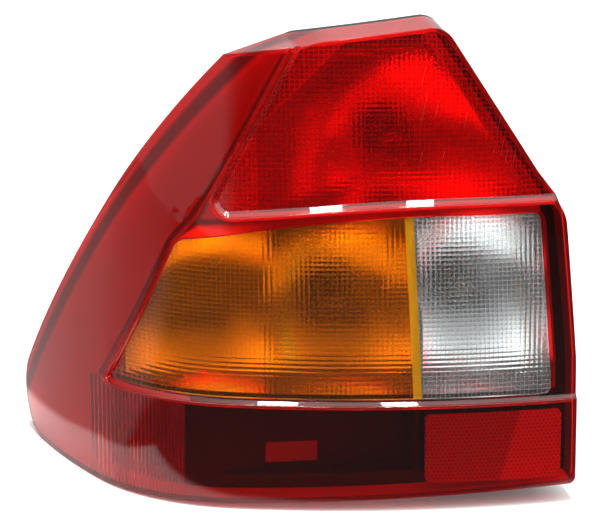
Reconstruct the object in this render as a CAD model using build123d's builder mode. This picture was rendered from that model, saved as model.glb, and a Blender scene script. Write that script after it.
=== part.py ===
from build123d import *
from math import acos, cos, degrees, radians, sin
import os

os.makedirs("parts", exist_ok=True)

# Left-hand tail light cluster of a saloon car. X points to the car's centreline, Y to its front, Z up.
# The origin is the root of the locating peg, on the flat back face of the housing.
# Heights are measured from the foot line of the lens.
BODY_DEPTH = 95.0
FOOT_Z = -165.0

# Plan curve of the outer skin: a flat rear arc, a tight corner arc and a flat side arc
REAR_X = 110.0
REAR_RADIUS = 500.0
CORNER_RADIUS = 115.0
SIDE_RADIUS = 500.0
INBOARD_TURN = 10.0
REAR_TURN = 16.0
CORNER_TURN = 49.0
SIDE_TURN = 20.0

# The skin leans forward towards the top
LEAN_START = 60.0
LEAN_END = 290.0
LEAN_TOP = 30.0
LEAN_POWER = 1.6
SECTION_HEIGHTS = (-15.0, 60.0, 115.0, 170.0, 230.0, 295.0)

# Outline seen from behind the car
INBOARD_X = 172.0
INBOARD_FOOT = 11.0
KNEE_X = 166.0
KNEE_HEIGHT = 170.0
TOP_X = 97.0
TOP_HEIGHT = 279.0
SHOULDER_X = -20.0
SHOULDER_HEIGHT = 265.0
OUTBOARD_FOOT = -1.0
INBOARD_FOOT_RADIUS = 4.0
INBOARD_BOW_RADIUS = 60.0
KNEE_RADIUS = 22.0
TOP_RADIUS = 14.0

# Shut line of the side wing, seen along the diagonal of the car
SHUT_TOP = 15.0
SHUT_FOOT = -201.0
SHUT_FOOT_RADIUS = 28.0

# Lens: wall, stepped fields and colour windows
LENS_WALL = 2.8
LEDGE_FILLET = 0.8
MIDDLE_STEP = 3.0
UPPER_STEP = 6.5
CREASE_TOP_X = 6.0
CREASE_FOOT = (-47.0, 171.0)
LEDGE_FOOT = 63.0
LEDGE_TOP = 179.0
LEDGE_CORNER = (-43.0, 169.5)
LEDGE_RADIUS = 9.0
LEDGE_BEND_RADIUS = 1000.0
RECESS_MARGIN = 2.5
RECESS_FOOT_RADIUS = 3.0
RECESS_SIDE_RADIUS = 14.0
CREASE_RADIUS = 10.0
WINDOW_FOOT = 66.0
WINDOW_LEFT_FOOT_X = -95.0
WINDOW_LEFT_TOP = (-57.0, 156.0)
WINDOW_BEND = (11.0, 168.0)
WINDOW_FOOT_RADIUS = 4.0
WINDOW_TOP_RADIUS = 9.0
WINDOW_BEND_RADIUS = 800.0
DIVIDE_TOP_X = 76.0
DIVIDE_FOOT_X = 80.5
WINDOW_TOP = 172.5
CLEAR_TOP_X = 150.0
CLEAR_FOOT_X = 157.0
CLEAR_RADIUS = 5.0

# Joint between lens and housing, behind the skin
JOINT_FOOT = 20.0
JOINT_TOP = 44.0
SEALANT = 1.5
SEALANT_EDGE = 0.3

# Housing: flange, tub, and the plan of its back, which steps forward behind the side wing
FLANGE = 4.0
TUB_EDGE = 8.0
TUB_WALL = 2.5
BACK_END_X = -10.0
WAIST = (-55.0, 35.0)
WING_BACK = (-87.0, 100.0)
WING_END_Y = 170.0
BACK_RADIUS = 12.0
CHAMBER_WALL = 2.0
CHAMBER_GAP = 1.7
CHAMBER_FRONT = UPPER_STEP + LENS_WALL + CHAMBER_GAP
CHAMBER_RADIUS = 3.0

# Chamber walls inside the housing, as (x, height)
SHELF_LEFT = (-46.0, 165.0)
SHELF_MIDDLE = (70.0, 175.7)
SHELF_HEIGHT = 176.0
FLOOR_HEIGHT = 64.5
OUTBOARD_MIDDLE = (-60.0, 153.0)
OUTBOARD_FOOT_X = -98.0
CREASE_WALL_TOP = (9.0, 272.0)
LOWER_LEFT_X = -54.0
LOWER_RIGHT_X = 79.0

# Bulbs, as (x, height) of their axes
STOP_BULB = (70.0, 205.0)
TURN_BULB = (36.0, 108.0)
REVERSE_BULB = (112.0, 114.0)
FILAMENT_Y = -38.0
FOCAL_LENGTH = 34.0
REFLECTOR_WALL = 1.4
REFLECTOR_SET_BACK = 2.0
REFLECTOR_FRONT = CHAMBER_FRONT + REFLECTOR_SET_BACK
REFLECTOR_EDGE_MIDDLE = (-21.0, 213.0)
REFLECTOR_EDGE_TOP = (23.0, 256.0)
REFLECTOR_EDGE_RADIUS = 120.0
REFLECTOR_GAP = 0.4
SIDE_BOWL = (-45.0, 108.0)
SIDE_BOWL_Y = 2.0
BOWL_FLAT_RADIUS = 3.0
SOCKET_HOLE_RADIUS = 14.0
BASE_RADIUS = 7.5
BASE_FOOT_Y = 1.6
BASE_TOP_Y = -13.0
BASE_RIM = 3.0
NECK_RADIUS = 6.9
GLASS_RADIUS = 12.5
GLASS_WALL = 0.8
GLASS_TIP_Y = -51.5
GLASS_TIP_RADIUS = 0.8
PIN_RADIUS = 1.0
PIN_REACH = 8.6
PIN_Y = -6.0
SOCKET_GAP = 0.4
SOCKET_WALL = 3.0
BUTTON_RADIUS = 2.8
TWIN_BUTTON_RADIUS = 1.6
TWIN_BUTTON_X = 3.5
BUTTON_SINK = 0.2
BUTTON_GAP = 1.0
TWIN_BUTTON_GAP = 0.6
PIN_SLOT = 2.6
PIN_SLOT_FOOT = 1.5
BASE_CHAMFER = 1.2
COIL_RADIUS = 0.7
COIL_LENGTH = 7.0
LEAD_SPREAD = 3.0
LEAD_WIDTH = 0.7
TWIN_COIL_OFFSET = 1.6
TWIN_COIL_STEP = 3.0

# Bulb carrier on the back of the housing
GASKET = 2.0
GASKET_EDGE = 1.5
GASKET_WIDTH = 3.5
PLATE = 2.5
PLATE_RADIUS = 8.0
PLATE_TOP = 227.0
PLATE_FOOT = 86.0
PLATE_RIGHT_X = 134.0
PLATE_LEFT_X = 14.0
PLATE_TOP_WIDTH = 44.0
PLATE_SHOULDER = 132.0
TRACK = 0.6
TRACK_WIDTH = 4.4
TRACK_GAP = 0.3
TRACK_DROP = 18.0
TRACK_RISE = 14.0
EARTH_DROP = 30.0
EARTH_REACH = 6.0
EARTH_SPREAD = 22.0
EARTH_LIFT = 8.0
PAD_EDGE = 2.6
TWIN_PAD_EDGE = 1.2
HOOK_GAP = 0.4
HOOK_WALL = 2.5
HOOK_WIDTH = 8.0
HOOK_BARB = 1.4

# Connector on the carrier
CONNECTOR = (75.0, 165.0)
CONNECTOR_PITCH = 7.0
CONNECTOR_WIDTH = 42.0
CONNECTOR_HEIGHT = 16.0
CONNECTOR_DEPTH = 15.5
CONNECTOR_WALL = 1.5
BLADE_WIDTH = 4.0
BLADE = 0.8
BLADE_LENGTH = 11.0

# Unused lamp position in the lower chamber: its inner wall, and a blanking plug in it
LOWER_BACK_Y = -50.0
LOWER_BACK_WALL = 2.0
BLANK_CENTRE = (10.0, 24.5)
BLANK_WIDTH = 31.0
BLANK_HEIGHT = 12.5
BLANK_GAP = 0.2
BLANK_LIP = 1.2
BLANK_WALL = 1.6
ACCESS_MARGIN = 5.0

# Reflex reflector behind the lower band
REFLEX_LEFT_X = 82.5
REFLEX_RIGHT_X = 163.0
REFLEX_FOOT = 15.0
REFLEX_TOP = 56.0
REFLEX_GAP = 0.6
REFLEX_WALL = 3.0
REFLEX_RADIUS = 3.0

# Fixings
STUD_RADIUS = 3.0
STUD_LENGTH = 22.0
STUD_ROOT = 9.0
STUD_ROOT_RADIUS = 4.0
STUD_CHAMFER = 0.8
BOSS_RADIUS = 7.0
UPPER_STUD = (30.0, 245.0)
INBOARD_STUD = (150.0, 40.0)
WING_STUD = (-40.0, 60.0)
WING_STUD_Y = 36.0
PEG_RADIUS = 4.0
PEG_LENGTH = 12.0
BODY_SEAL = 5.0
BODY_SEAL_EDGE = 1.0
BODY_SEAL_GAP = 0.2
VENT = (148.0, 150.0)
VENT_RADIUS = 3.5
VENT_LENGTH = 7.0
VENT_CAP_WALL = 2.0
VENT_WALL = 1.5
FAR = 400.0


def direction(turn):
    """Unit vector from an arc's centre to the skin, turned outboard by an angle."""
    return Vector(-sin(radians(turn)), -cos(radians(turn)))


def lean(height):
    """How far the skin leans in at a height above the foot line."""
    share = max(0.0, height - LEAN_START) / (LEAN_END - LEAN_START)
    return LEAN_TOP * share**LEAN_POWER


def joint_depth(height):
    """Depth of the lens joint behind the skin, which grows towards the top."""
    share = max(0.0, height) / TOP_HEIGHT
    return JOINT_FOOT + (JOINT_TOP - JOINT_FOOT) * share**2


def plan_section(height, depth):
    """Closed plan section at a height, with its skin set in by a depth."""
    centre = Vector(REAR_X, REAR_RADIUS - BODY_DEPTH)
    start = centre + direction(-INBOARD_TURN) * (REAR_RADIUS - depth)
    heading = Vector(-cos(radians(INBOARD_TURN)), -sin(radians(INBOARD_TURN)))
    with BuildSketch(Plane.XY.offset(FOOT_Z + height)) as section:
        with BuildLine():
            rear = JernArc(start, heading, REAR_RADIUS - depth, -(INBOARD_TURN + REAR_TURN))
            corner = JernArc(rear @ 1, rear % 1, CORNER_RADIUS - depth, -CORNER_TURN)
            side = JernArc(corner @ 1, corner % 1, SIDE_RADIUS - depth, -SIDE_TURN)
            Polyline(side @ 1, (start.X, (side @ 1).Y), start)
        make_face()
    return section.sketch.face()


def body_form(inset, mode=Mode.ADD):
    """Solid behind the leaning skin, set in by an even inset."""
    loft([plan_section(h, lean(h) + inset) for h in SECTION_HEIGHTS], mode=mode)


def joint_form(inset, mode=Mode.ADD):
    """Solid behind the joint of lens and housing, set in by an even inset."""
    sections = [plan_section(h, lean(h) + joint_depth(h) + inset) for h in SECTION_HEIGHTS]
    loft(sections, mode=mode)


def corner_outline(plane, corners, inset):
    """Closed outline through corners of (across, height, radius), drawn in by an inset."""
    with BuildSketch(plane) as outline:
        with BuildLine():
            Polyline(*[(across, FOOT_Z + height) for across, height, _ in corners], close=True)
        make_face()
        if inset:
            offset(amount=-inset, kind=Kind.INTERSECTION)
        for across, height, radius in corners:
            if radius > inset:
                fillet(outline.vertices().sort_by_distance((across, FOOT_Z + height))[0], radius - inset)
    return outline.sketch


DIAGONAL = Plane(origin=(0, 0, 0), x_dir=(1, -1, 0), z_dir=(-1, -1, 0))
TOP_SLOPE = (TOP_HEIGHT - SHOULDER_HEIGHT) / (TOP_X - SHOULDER_X)
SHUT_RUN = (SHUT_TOP - SHUT_FOOT) / (SHOULDER_HEIGHT - OUTBOARD_FOOT)


def trim_to_edges(inset):
    """Trims the part in hand to the lamp's outline, drawn in by an inset."""
    top_left_x = -FAR
    rear_corners = [
        (INBOARD_X, INBOARD_FOOT, INBOARD_FOOT_RADIUS),
        (INBOARD_X, KNEE_HEIGHT / 2, INBOARD_BOW_RADIUS),
        (KNEE_X, KNEE_HEIGHT, KNEE_RADIUS),
        (TOP_X, TOP_HEIGHT, TOP_RADIUS),
        (top_left_x, SHOULDER_HEIGHT - TOP_SLOPE * (SHOULDER_X - top_left_x), 0.0),
        (top_left_x, OUTBOARD_FOOT - (INBOARD_FOOT - OUTBOARD_FOOT), 0.0),
    ]
    extrude(corner_outline(Plane.XZ, rear_corners, inset), amount=FAR, both=True, mode=Mode.INTERSECT)
    shut_corners = [
        (SHUT_FOOT, OUTBOARD_FOOT, SHUT_FOOT_RADIUS),
        (SHUT_TOP + SHUT_RUN * FAR, SHOULDER_HEIGHT + FAR, 0.0),
        (FAR * 2, SHOULDER_HEIGHT + FAR, 0.0),
        (FAR * 2, OUTBOARD_FOOT, 0.0),
    ]
    extrude(corner_outline(DIAGONAL, shut_corners, inset), amount=FAR, both=True, mode=Mode.INTERSECT)


def window_prism(corners, inset):
    """Prism through the lamp along the car, on an outline drawn in by an inset."""
    extrude(corner_outline(Plane.XZ, corners, inset), amount=FAR, both=True)


CREASE_RUN = (CREASE_TOP_X - CREASE_FOOT[0]) / (SHOULDER_HEIGHT - CREASE_FOOT[1])
CREASE_FAR_X = CREASE_FOOT[0] + CREASE_RUN * (FAR - CREASE_FOOT[1])
MIDDLE_FIELD = [
    (WINDOW_LEFT_FOOT_X - RECESS_MARGIN, LEDGE_FOOT, RECESS_FOOT_RADIUS),
    (FAR, LEDGE_FOOT, 0.0),
    (FAR, FAR, 0.0),
    (CREASE_FAR_X, FAR, 0.0),
    (*CREASE_FOOT, CREASE_RADIUS),
    (WINDOW_LEFT_TOP[0] - RECESS_MARGIN, WINDOW_LEFT_TOP[1], RECESS_SIDE_RADIUS),
]
UPPER_FIELD = [
    (*LEDGE_CORNER, LEDGE_RADIUS),
    (SHELF_MIDDLE[0], LEDGE_TOP, LEDGE_BEND_RADIUS),
    (FAR, LEDGE_TOP, 0.0),
    (FAR, FAR, 0.0),
    (LEDGE_CORNER[0] + CREASE_RUN * (FAR - LEDGE_CORNER[1]), FAR, 0.0),
]
AMBER_WINDOW = [
    (WINDOW_LEFT_FOOT_X, WINDOW_FOOT, WINDOW_FOOT_RADIUS),
    (DIVIDE_FOOT_X, WINDOW_FOOT, 0.0),
    (DIVIDE_TOP_X, WINDOW_TOP, 0.0),
    (*WINDOW_BEND, WINDOW_BEND_RADIUS),
    (*WINDOW_LEFT_TOP, WINDOW_TOP_RADIUS),
]
CLEAR_WINDOW = [
    (DIVIDE_FOOT_X, WINDOW_FOOT, 0.0),
    (CLEAR_FOOT_X, WINDOW_FOOT, CLEAR_RADIUS),
    (CLEAR_TOP_X, WINDOW_TOP, CLEAR_RADIUS),
    (DIVIDE_TOP_X, WINDOW_TOP, 0.0),
]


def lens_block(inset):
    """Solid lamp form with its stepped fields, set in from the outside by an inset."""
    with BuildPart() as middle_step:
        window_prism(MIDDLE_FIELD, -inset)
        body_form(inset + MIDDLE_STEP, mode=Mode.SUBTRACT)
    with BuildPart() as upper_step:
        window_prism(UPPER_FIELD, -inset)
        body_form(inset + UPPER_STEP, mode=Mode.SUBTRACT)
    with BuildPart() as stepped:
        body_form(inset)
        trim_to_edges(inset)
        add(middle_step.part, mode=Mode.SUBTRACT)
        add(upper_step.part, mode=Mode.SUBTRACT)
    return stepped.part


def ledge_edges(solid, concave):
    """Edges where the lens's ledges meet its fields, either the concave or the convex ones."""
    fields = solid.faces().filter_by(GeomType.BSPLINE)
    ledges = solid.faces().filter_by(lambda f: f.geom_type != GeomType.BSPLINE and f.bounding_box().max.Y < 0)
    return [edge for edge in ledges.edges() & fields.edges() if edge.is_interior == concave]


# Lens shell, from which the three colours are parted
with BuildPart() as lens_outside:
    add(lens_block(0))
    fillet(ledge_edges(lens_outside.part, concave=False), LEDGE_FILLET)
lens_inside = lens_block(LENS_WALL)
with BuildPart() as lens_shell:
    add(lens_outside.part)
    add(lens_inside, mode=Mode.SUBTRACT)
    joint_form(0, mode=Mode.SUBTRACT)
with BuildPart() as amber_prism:
    window_prism(AMBER_WINDOW, 0)
with BuildPart() as clear_prism:
    window_prism(CLEAR_WINDOW, 0)

with BuildPart() as red_lens:
    add(lens_shell.part)
    add(amber_prism.part, mode=Mode.SUBTRACT)
    add(clear_prism.part, mode=Mode.SUBTRACT)
red_lens.part.label = "red_lens"
export_step(red_lens.part, "parts/red_lens.step")

with BuildPart() as amber_lens:
    add(lens_shell.part)
    add(amber_prism.part, mode=Mode.INTERSECT)
amber_lens.part.label = "amber_lens"
export_step(amber_lens.part, "parts/amber_lens.step")

with BuildPart() as clear_lens:
    add(lens_shell.part)
    add(clear_prism.part, mode=Mode.INTERSECT)
clear_lens.part.label = "clear_lens"
export_step(clear_lens.part, "parts/clear_lens.step")

# Reflex reflector, a plate of prisms behind the lower band
with BuildPart() as reflex_plate:
    body_form(LENS_WALL + REFLEX_GAP)
    body_form(LENS_WALL + REFLEX_GAP + REFLEX_WALL, mode=Mode.SUBTRACT)
    reflex_corners = [
        (REFLEX_LEFT_X, REFLEX_FOOT, REFLEX_RADIUS),
        (REFLEX_RIGHT_X, REFLEX_FOOT, REFLEX_RADIUS),
        (REFLEX_RIGHT_X, REFLEX_TOP, REFLEX_RADIUS),
        (REFLEX_LEFT_X, REFLEX_TOP, REFLEX_RADIUS),
    ]
    extrude(corner_outline(Plane.XZ, reflex_corners, 0), amount=BODY_DEPTH + FAR, mode=Mode.INTERSECT)
reflex_plate.part.label = "reflex_plate"
export_step(reflex_plate.part, "parts/reflex_plate.step")

# Sealant bead in the joint
with BuildPart() as bead_core:
    body_form(0)
    trim_to_edges(LENS_WALL - SEALANT_EDGE)
with BuildPart() as lens_sealant:
    joint_form(0)
    trim_to_edges(SEALANT_EDGE)
    joint_form(SEALANT, mode=Mode.SUBTRACT)
    add(bead_core.part, mode=Mode.SUBTRACT)
lens_sealant.part.label = "lens_sealant"
export_step(lens_sealant.part, "parts/lens_sealant.step")


def back_plan(inset):
    """Plan of everything rearward of the housing's back, drawn in by an inset."""
    with BuildSketch(Plane.XY) as plan:
        with BuildLine():
            Polyline(
                (FAR, 0),
                (BACK_END_X, 0),
                WAIST,
                WING_BACK,
                (WING_BACK[0], WING_END_Y),
                (-FAR, WING_END_Y),
                (-FAR, -FAR),
                (FAR, -FAR),
                close=True,
            )
        make_face()
        if inset:
            offset(amount=-inset, kind=Kind.INTERSECTION)
        for corner in ((BACK_END_X, 0), WAIST, WING_BACK):
            fillet(plan.vertices().sort_by_distance(corner)[0], BACK_RADIUS)
    return plan.sketch


def spot(place, y=0.0):
    """Point on the lamp from (x, height)."""
    return (place[0], y, FOOT_Z + place[1])


def facing_front(place, y):
    """Plane at a place on the lamp whose normal points to the car's front."""
    return Plane(origin=spot(place, y), x_dir=(1, 0, 0), z_dir=(0, 1, 0))


def strip(points, width):
    """Strip of even width along a line of (x, height) points."""
    with BuildSketch(Plane.XZ) as traced:
        with BuildLine():
            Polyline(*[(x, FOOT_Z + height) for x, height in points])
        trace(line_width=width)
    return traced.sketch


# Housing: tub, flange and chamber walls
with BuildPart() as tub_space:
    joint_form(0)
    trim_to_edges(TUB_EDGE + TUB_WALL)
    extrude(back_plan(TUB_WALL), amount=FAR, both=True, mode=Mode.INTERSECT)
with BuildPart() as flange_core:
    body_form(0)
    trim_to_edges(TUB_EDGE + TUB_WALL)
with BuildPart() as flange:
    joint_form(SEALANT)
    trim_to_edges(0)
    joint_form(SEALANT + FLANGE, mode=Mode.SUBTRACT)
    add(flange_core.part, mode=Mode.SUBTRACT)
WALL_RUNS = (
    [CREASE_WALL_TOP, SHELF_LEFT, OUTBOARD_MIDDLE, (OUTBOARD_FOOT_X, FLOOR_HEIGHT)],
    [SHELF_LEFT, SHELF_MIDDLE, (INBOARD_X, SHELF_HEIGHT)],
    [(OUTBOARD_FOOT_X, FLOOR_HEIGHT), (INBOARD_X, FLOOR_HEIGHT)],
    [(DIVIDE_TOP_X, SHELF_HEIGHT), (DIVIDE_FOOT_X, FLOOR_HEIGHT)],
    [(LOWER_LEFT_X, FLOOR_HEIGHT), (LOWER_LEFT_X, -TUB_EDGE)],
    [(LOWER_RIGHT_X, FLOOR_HEIGHT), (LOWER_RIGHT_X, -TUB_EDGE)],
)
with BuildPart() as chamber_walls:
    for run in WALL_RUNS:
        extrude(strip(run, CHAMBER_WALL), amount=FAR, both=True)
    body_form(CHAMBER_FRONT, mode=Mode.INTERSECT)
    add(flange_core.part, mode=Mode.INTERSECT)
    extrude(back_plan(TUB_WALL / 2), amount=FAR, both=True, mode=Mode.INTERSECT)

ACCESS_CENTRE = (BLANK_CENTRE[0], TUB_EDGE + BLANK_HEIGHT / 2 + ACCESS_MARGIN * 3)
with BuildPart() as lower_back:
    with BuildSketch(Plane.XZ.offset(-LOWER_BACK_Y)):
        with Locations(((LOWER_LEFT_X + LOWER_RIGHT_X) / 2, FOOT_Z + FLOOR_HEIGHT / 2)):
            Rectangle(LOWER_RIGHT_X - LOWER_LEFT_X, FLOOR_HEIGHT)
    extrude(amount=-LOWER_BACK_WALL)
    add(flange_core.part, mode=Mode.INTERSECT)

PLATE_OUTLINE = [
    (STOP_BULB[0] - PLATE_TOP_WIDTH / 2, PLATE_TOP, PLATE_RADIUS),
    (STOP_BULB[0] + PLATE_TOP_WIDTH / 2, PLATE_TOP, PLATE_RADIUS),
    (PLATE_RIGHT_X, PLATE_SHOULDER, PLATE_RADIUS),
    (PLATE_RIGHT_X, PLATE_FOOT, PLATE_RADIUS),
    (PLATE_LEFT_X, PLATE_FOOT, PLATE_RADIUS),
    (PLATE_LEFT_X, PLATE_SHOULDER, PLATE_RADIUS),
]
PLATE_FRONT_Y = GASKET
PLATE_BACK_Y = GASKET + PLATE
HOOKS = [
    (STOP_BULB[0], PLATE_TOP, 90.0),
    (PLATE_RIGHT_X, REVERSE_BULB[1], 0.0),
    ((PLATE_LEFT_X + PLATE_RIGHT_X) / 2, PLATE_FOOT, -90.0),
    (PLATE_LEFT_X, TURN_BULB[1], 180.0),
]


def hook_plane(x, height, turn):
    """Plane across a hook: its x runs out from the carrier's edge and its y to the car's front."""
    out = Vector(cos(radians(turn)), 0, sin(radians(turn)))
    return Plane(origin=spot((x, height)), x_dir=out, z_dir=out.cross(Vector(0, 1, 0)))


STUDS = ((UPPER_STUD, 0.0), (INBOARD_STUD, 0.0), (WING_STUD, WING_STUD_Y))
with BuildPart() as housing:
    joint_form(SEALANT)
    trim_to_edges(TUB_EDGE)
    extrude(back_plan(0), amount=FAR, both=True, mode=Mode.INTERSECT)
    add(tub_space.part, mode=Mode.SUBTRACT)
    add(flange.part)
    add(chamber_walls.part)
    add(lower_back.part)
    # Bosses for the studs, the locating peg and the vent spigot
    for place in (UPPER_STUD, INBOARD_STUD):
        with BuildSketch(facing_front(place, -STUD_ROOT - TUB_WALL)):
            Circle(BOSS_RADIUS)
        extrude(amount=STUD_ROOT + TUB_WALL)
    with BuildSketch(facing_front(WING_STUD, WING_STUD_Y - STUD_ROOT - BOSS_RADIUS * 2)):
        Circle(BOSS_RADIUS)
    extrude(amount=STUD_ROOT + BOSS_RADIUS * 2)
    with BuildSketch(Plane(origin=(0, -TUB_WALL, 0), x_dir=(1, 0, 0), z_dir=(0, 1, 0))):
        Circle(PEG_RADIUS)
    extrude(amount=TUB_WALL + PEG_LENGTH)
    chamfer(housing.edges(Select.LAST).sort_by(Axis.Y)[-1], STUD_CHAMFER)
    with BuildSketch(facing_front(VENT, -TUB_WALL)):
        Circle(VENT_RADIUS)
    extrude(amount=TUB_WALL + VENT_LENGTH)
    with BuildSketch(facing_front(VENT, -TUB_WALL * 2)):
        Circle(VENT_RADIUS - VENT_WALL)
    extrude(amount=FAR, mode=Mode.SUBTRACT)
    # Snap hooks that hold the bulb carrier
    for x, height, turn in HOOKS:
        with BuildSketch(hook_plane(x, height, turn)):
            with BuildLine():
                Polyline(
                    (HOOK_GAP, -TUB_WALL / 2),
                    (HOOK_GAP + HOOK_WALL, -TUB_WALL / 2),
                    (HOOK_GAP + HOOK_WALL, PLATE_BACK_Y + HOOK_BARB),
                    (HOOK_GAP + HOOK_WALL / 2, PLATE_BACK_Y + HOOK_BARB * 2),
                    (-HOOK_BARB, PLATE_BACK_Y + HOOK_GAP * 2),
                    (-HOOK_BARB, PLATE_BACK_Y + HOOK_GAP / 2),
                    (HOOK_GAP, PLATE_BACK_Y + HOOK_GAP / 2),
                    close=True,
                )
            make_face()
        extrude(amount=HOOK_WIDTH / 2, both=True)
    # Socket holes, the unused position with its access hole, and stud bores
    for place in (STOP_BULB, TURN_BULB, REVERSE_BULB):
        with BuildSketch(facing_front(place, -TUB_WALL * 2)):
            Circle(SOCKET_HOLE_RADIUS)
        extrude(amount=TUB_WALL * 3, mode=Mode.SUBTRACT)
    with BuildSketch(facing_front(BLANK_CENTRE, LOWER_BACK_Y - LOWER_BACK_WALL)):
        Rectangle(BLANK_WIDTH, BLANK_HEIGHT)
    extrude(amount=LOWER_BACK_WALL * 2, mode=Mode.SUBTRACT)
    with BuildSketch(facing_front(ACCESS_CENTRE, -TUB_WALL * 2)):
        RectangleRounded(BLANK_WIDTH + ACCESS_MARGIN * 2, BLANK_HEIGHT + ACCESS_MARGIN * 2, ACCESS_MARGIN)
    extrude(amount=TUB_WALL * 3, mode=Mode.SUBTRACT)
    for place, y in STUDS:
        with BuildSketch(facing_front(place, y - STUD_ROOT)):
            Circle(STUD_ROOT_RADIUS)
        extrude(amount=STUD_ROOT, mode=Mode.SUBTRACT)
housing.part.label = "housing"
export_step(housing.part, "parts/housing.step")

# Blanking plug of the unused position, pushed in from the back
with BuildPart() as blanking_plug:
    with BuildSketch(facing_front(BLANK_CENTRE, LOWER_BACK_Y)):
        Rectangle(BLANK_WIDTH - BLANK_GAP * 2, BLANK_HEIGHT - BLANK_GAP * 2)
    extrude(amount=LOWER_BACK_WALL)
    with BuildSketch(facing_front(BLANK_CENTRE, LOWER_BACK_Y + LOWER_BACK_WALL)):
        Rectangle(BLANK_WIDTH + BLANK_LIP * 2, BLANK_HEIGHT + BLANK_LIP * 2)
    extrude(amount=BLANK_WALL)
blanking_plug.part.label = "blanking_plug"
export_step(blanking_plug.part, "parts/blanking_plug.step")

# Foam seal round the tub, behind the flange
with BuildPart() as seal_core:
    body_form(0)
    trim_to_edges(TUB_EDGE - BODY_SEAL_GAP)
with BuildPart() as body_seal:
    joint_form(SEALANT + FLANGE)
    trim_to_edges(BODY_SEAL_EDGE)
    joint_form(SEALANT + FLANGE + BODY_SEAL, mode=Mode.SUBTRACT)
    add(seal_core.part, mode=Mode.SUBTRACT)
body_seal.part.label = "body_seal"
export_step(body_seal.part, "parts/body_seal.step")

# Threaded studs, three alike
with BuildPart() as mounting_studs:
    for place, y in STUDS:
        with BuildSketch(facing_front(place, y - STUD_ROOT)):
            Circle(STUD_ROOT_RADIUS)
        extrude(amount=STUD_ROOT)
        with BuildSketch(facing_front(place, y)):
            Circle(STUD_RADIUS)
        extrude(amount=STUD_LENGTH)
        rims = mounting_studs.edges(Select.LAST).filter_by(GeomType.CIRCLE)
        chamfer(rims.sort_by(Axis.Y)[-1], STUD_CHAMFER)
mounting_studs.part.label = "mounting_studs"
export_step(mounting_studs.part, "parts/mounting_studs.step")

# Vent cap, a rubber cup over the spigot
with BuildPart() as vent_cap:
    with BuildSketch(facing_front(VENT, 0)):
        Circle(VENT_RADIUS + VENT_CAP_WALL)
    extrude(amount=VENT_LENGTH + VENT_CAP_WALL * 2)
    with BuildSketch(facing_front(VENT, 0)):
        Circle(VENT_RADIUS)
    extrude(amount=VENT_LENGTH + VENT_CAP_WALL / 2, mode=Mode.SUBTRACT)
    with Locations(spot(VENT, VENT_LENGTH + VENT_CAP_WALL * 1.25)):
        Box(VENT_RADIUS * 4, VENT_CAP_WALL / 2, VENT_RADIUS, mode=Mode.SUBTRACT)
vent_cap.part.label = "vent_cap"
export_step(vent_cap.part, "parts/vent_cap.step")

# Metallised reflectors: a deep bowl round each bulb, with sides that line the chamber up to the lens.
# The turn chamber runs far outboard, so its reflector has a second bowl beside the bulb's.
BULB_BOWL_Y = FILAMENT_Y + FOCAL_LENGTH
REFLECTOR_EDGE_RUN = (REFLECTOR_EDGE_TOP[0] - REFLECTOR_EDGE_MIDDLE[0]) / (
    REFLECTOR_EDGE_TOP[1] - REFLECTOR_EDGE_MIDDLE[1]
)
STOP_CHAMBER = [
    (*SHELF_LEFT, CHAMBER_RADIUS),
    (*SHELF_MIDDLE, 0.0),
    (FAR, SHELF_HEIGHT, 0.0),
    (FAR, FAR, 0.0),
    (REFLECTOR_EDGE_MIDDLE[0] + REFLECTOR_EDGE_RUN * (FAR - REFLECTOR_EDGE_MIDDLE[1]), FAR, 0.0),
    (*REFLECTOR_EDGE_MIDDLE, REFLECTOR_EDGE_RADIUS),
]
TURN_CHAMBER = [
    (*SHELF_LEFT, CHAMBER_RADIUS),
    (*SHELF_MIDDLE, 0.0),
    (DIVIDE_TOP_X, SHELF_HEIGHT, CHAMBER_RADIUS),
    (DIVIDE_FOOT_X, FLOOR_HEIGHT, CHAMBER_RADIUS),
    (OUTBOARD_FOOT_X, FLOOR_HEIGHT, CHAMBER_RADIUS),
    (*OUTBOARD_MIDDLE, 0.0),
]
REVERSE_CHAMBER = [
    (DIVIDE_TOP_X, SHELF_HEIGHT, CHAMBER_RADIUS),
    (FAR, SHELF_HEIGHT, 0.0),
    (FAR, FLOOR_HEIGHT, 0.0),
    (DIVIDE_FOOT_X, FLOOR_HEIGHT, CHAMBER_RADIUS),
]


def bowl(place, bottom_y, thickness):
    """Solid paraboloid on an axis along the car, flat at its bottom, set back by a thickness."""
    depth = BODY_DEPTH
    vertex_y = bottom_y + thickness
    half = (4 * FOCAL_LENGTH * depth) ** 0.5
    x, _, z = spot(place)
    flat_x = x + BOWL_FLAT_RADIUS
    with BuildPart() as paraboloid:
        with BuildSketch(Plane.XY.offset(z)):
            with BuildLine():
                curve = Bezier(
                    (flat_x, vertex_y),
                    (flat_x + (half + thickness) / 2, vertex_y),
                    (flat_x + half + thickness, vertex_y - depth),
                )
                Polyline(curve @ 1, (x, vertex_y - depth), (x, vertex_y), curve @ 0)
            make_face()
        revolve(axis=Axis((x, 0, z), (0, 1, 0)))
    return paraboloid.part


def chamber_block(chamber, front, inset):
    """Solid through one chamber of the tub, from a depth behind the skin, drawn in by an inset."""
    with BuildPart() as block:
        body_form(front)
        outline = corner_outline(Plane.XZ, chamber, CHAMBER_WALL / 2 + REFLECTOR_GAP + inset)
        extrude(outline, amount=FAR, both=True, mode=Mode.INTERSECT)
        trim_to_edges(TUB_EDGE + TUB_WALL + REFLECTOR_GAP + inset)
    return block.part


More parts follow.
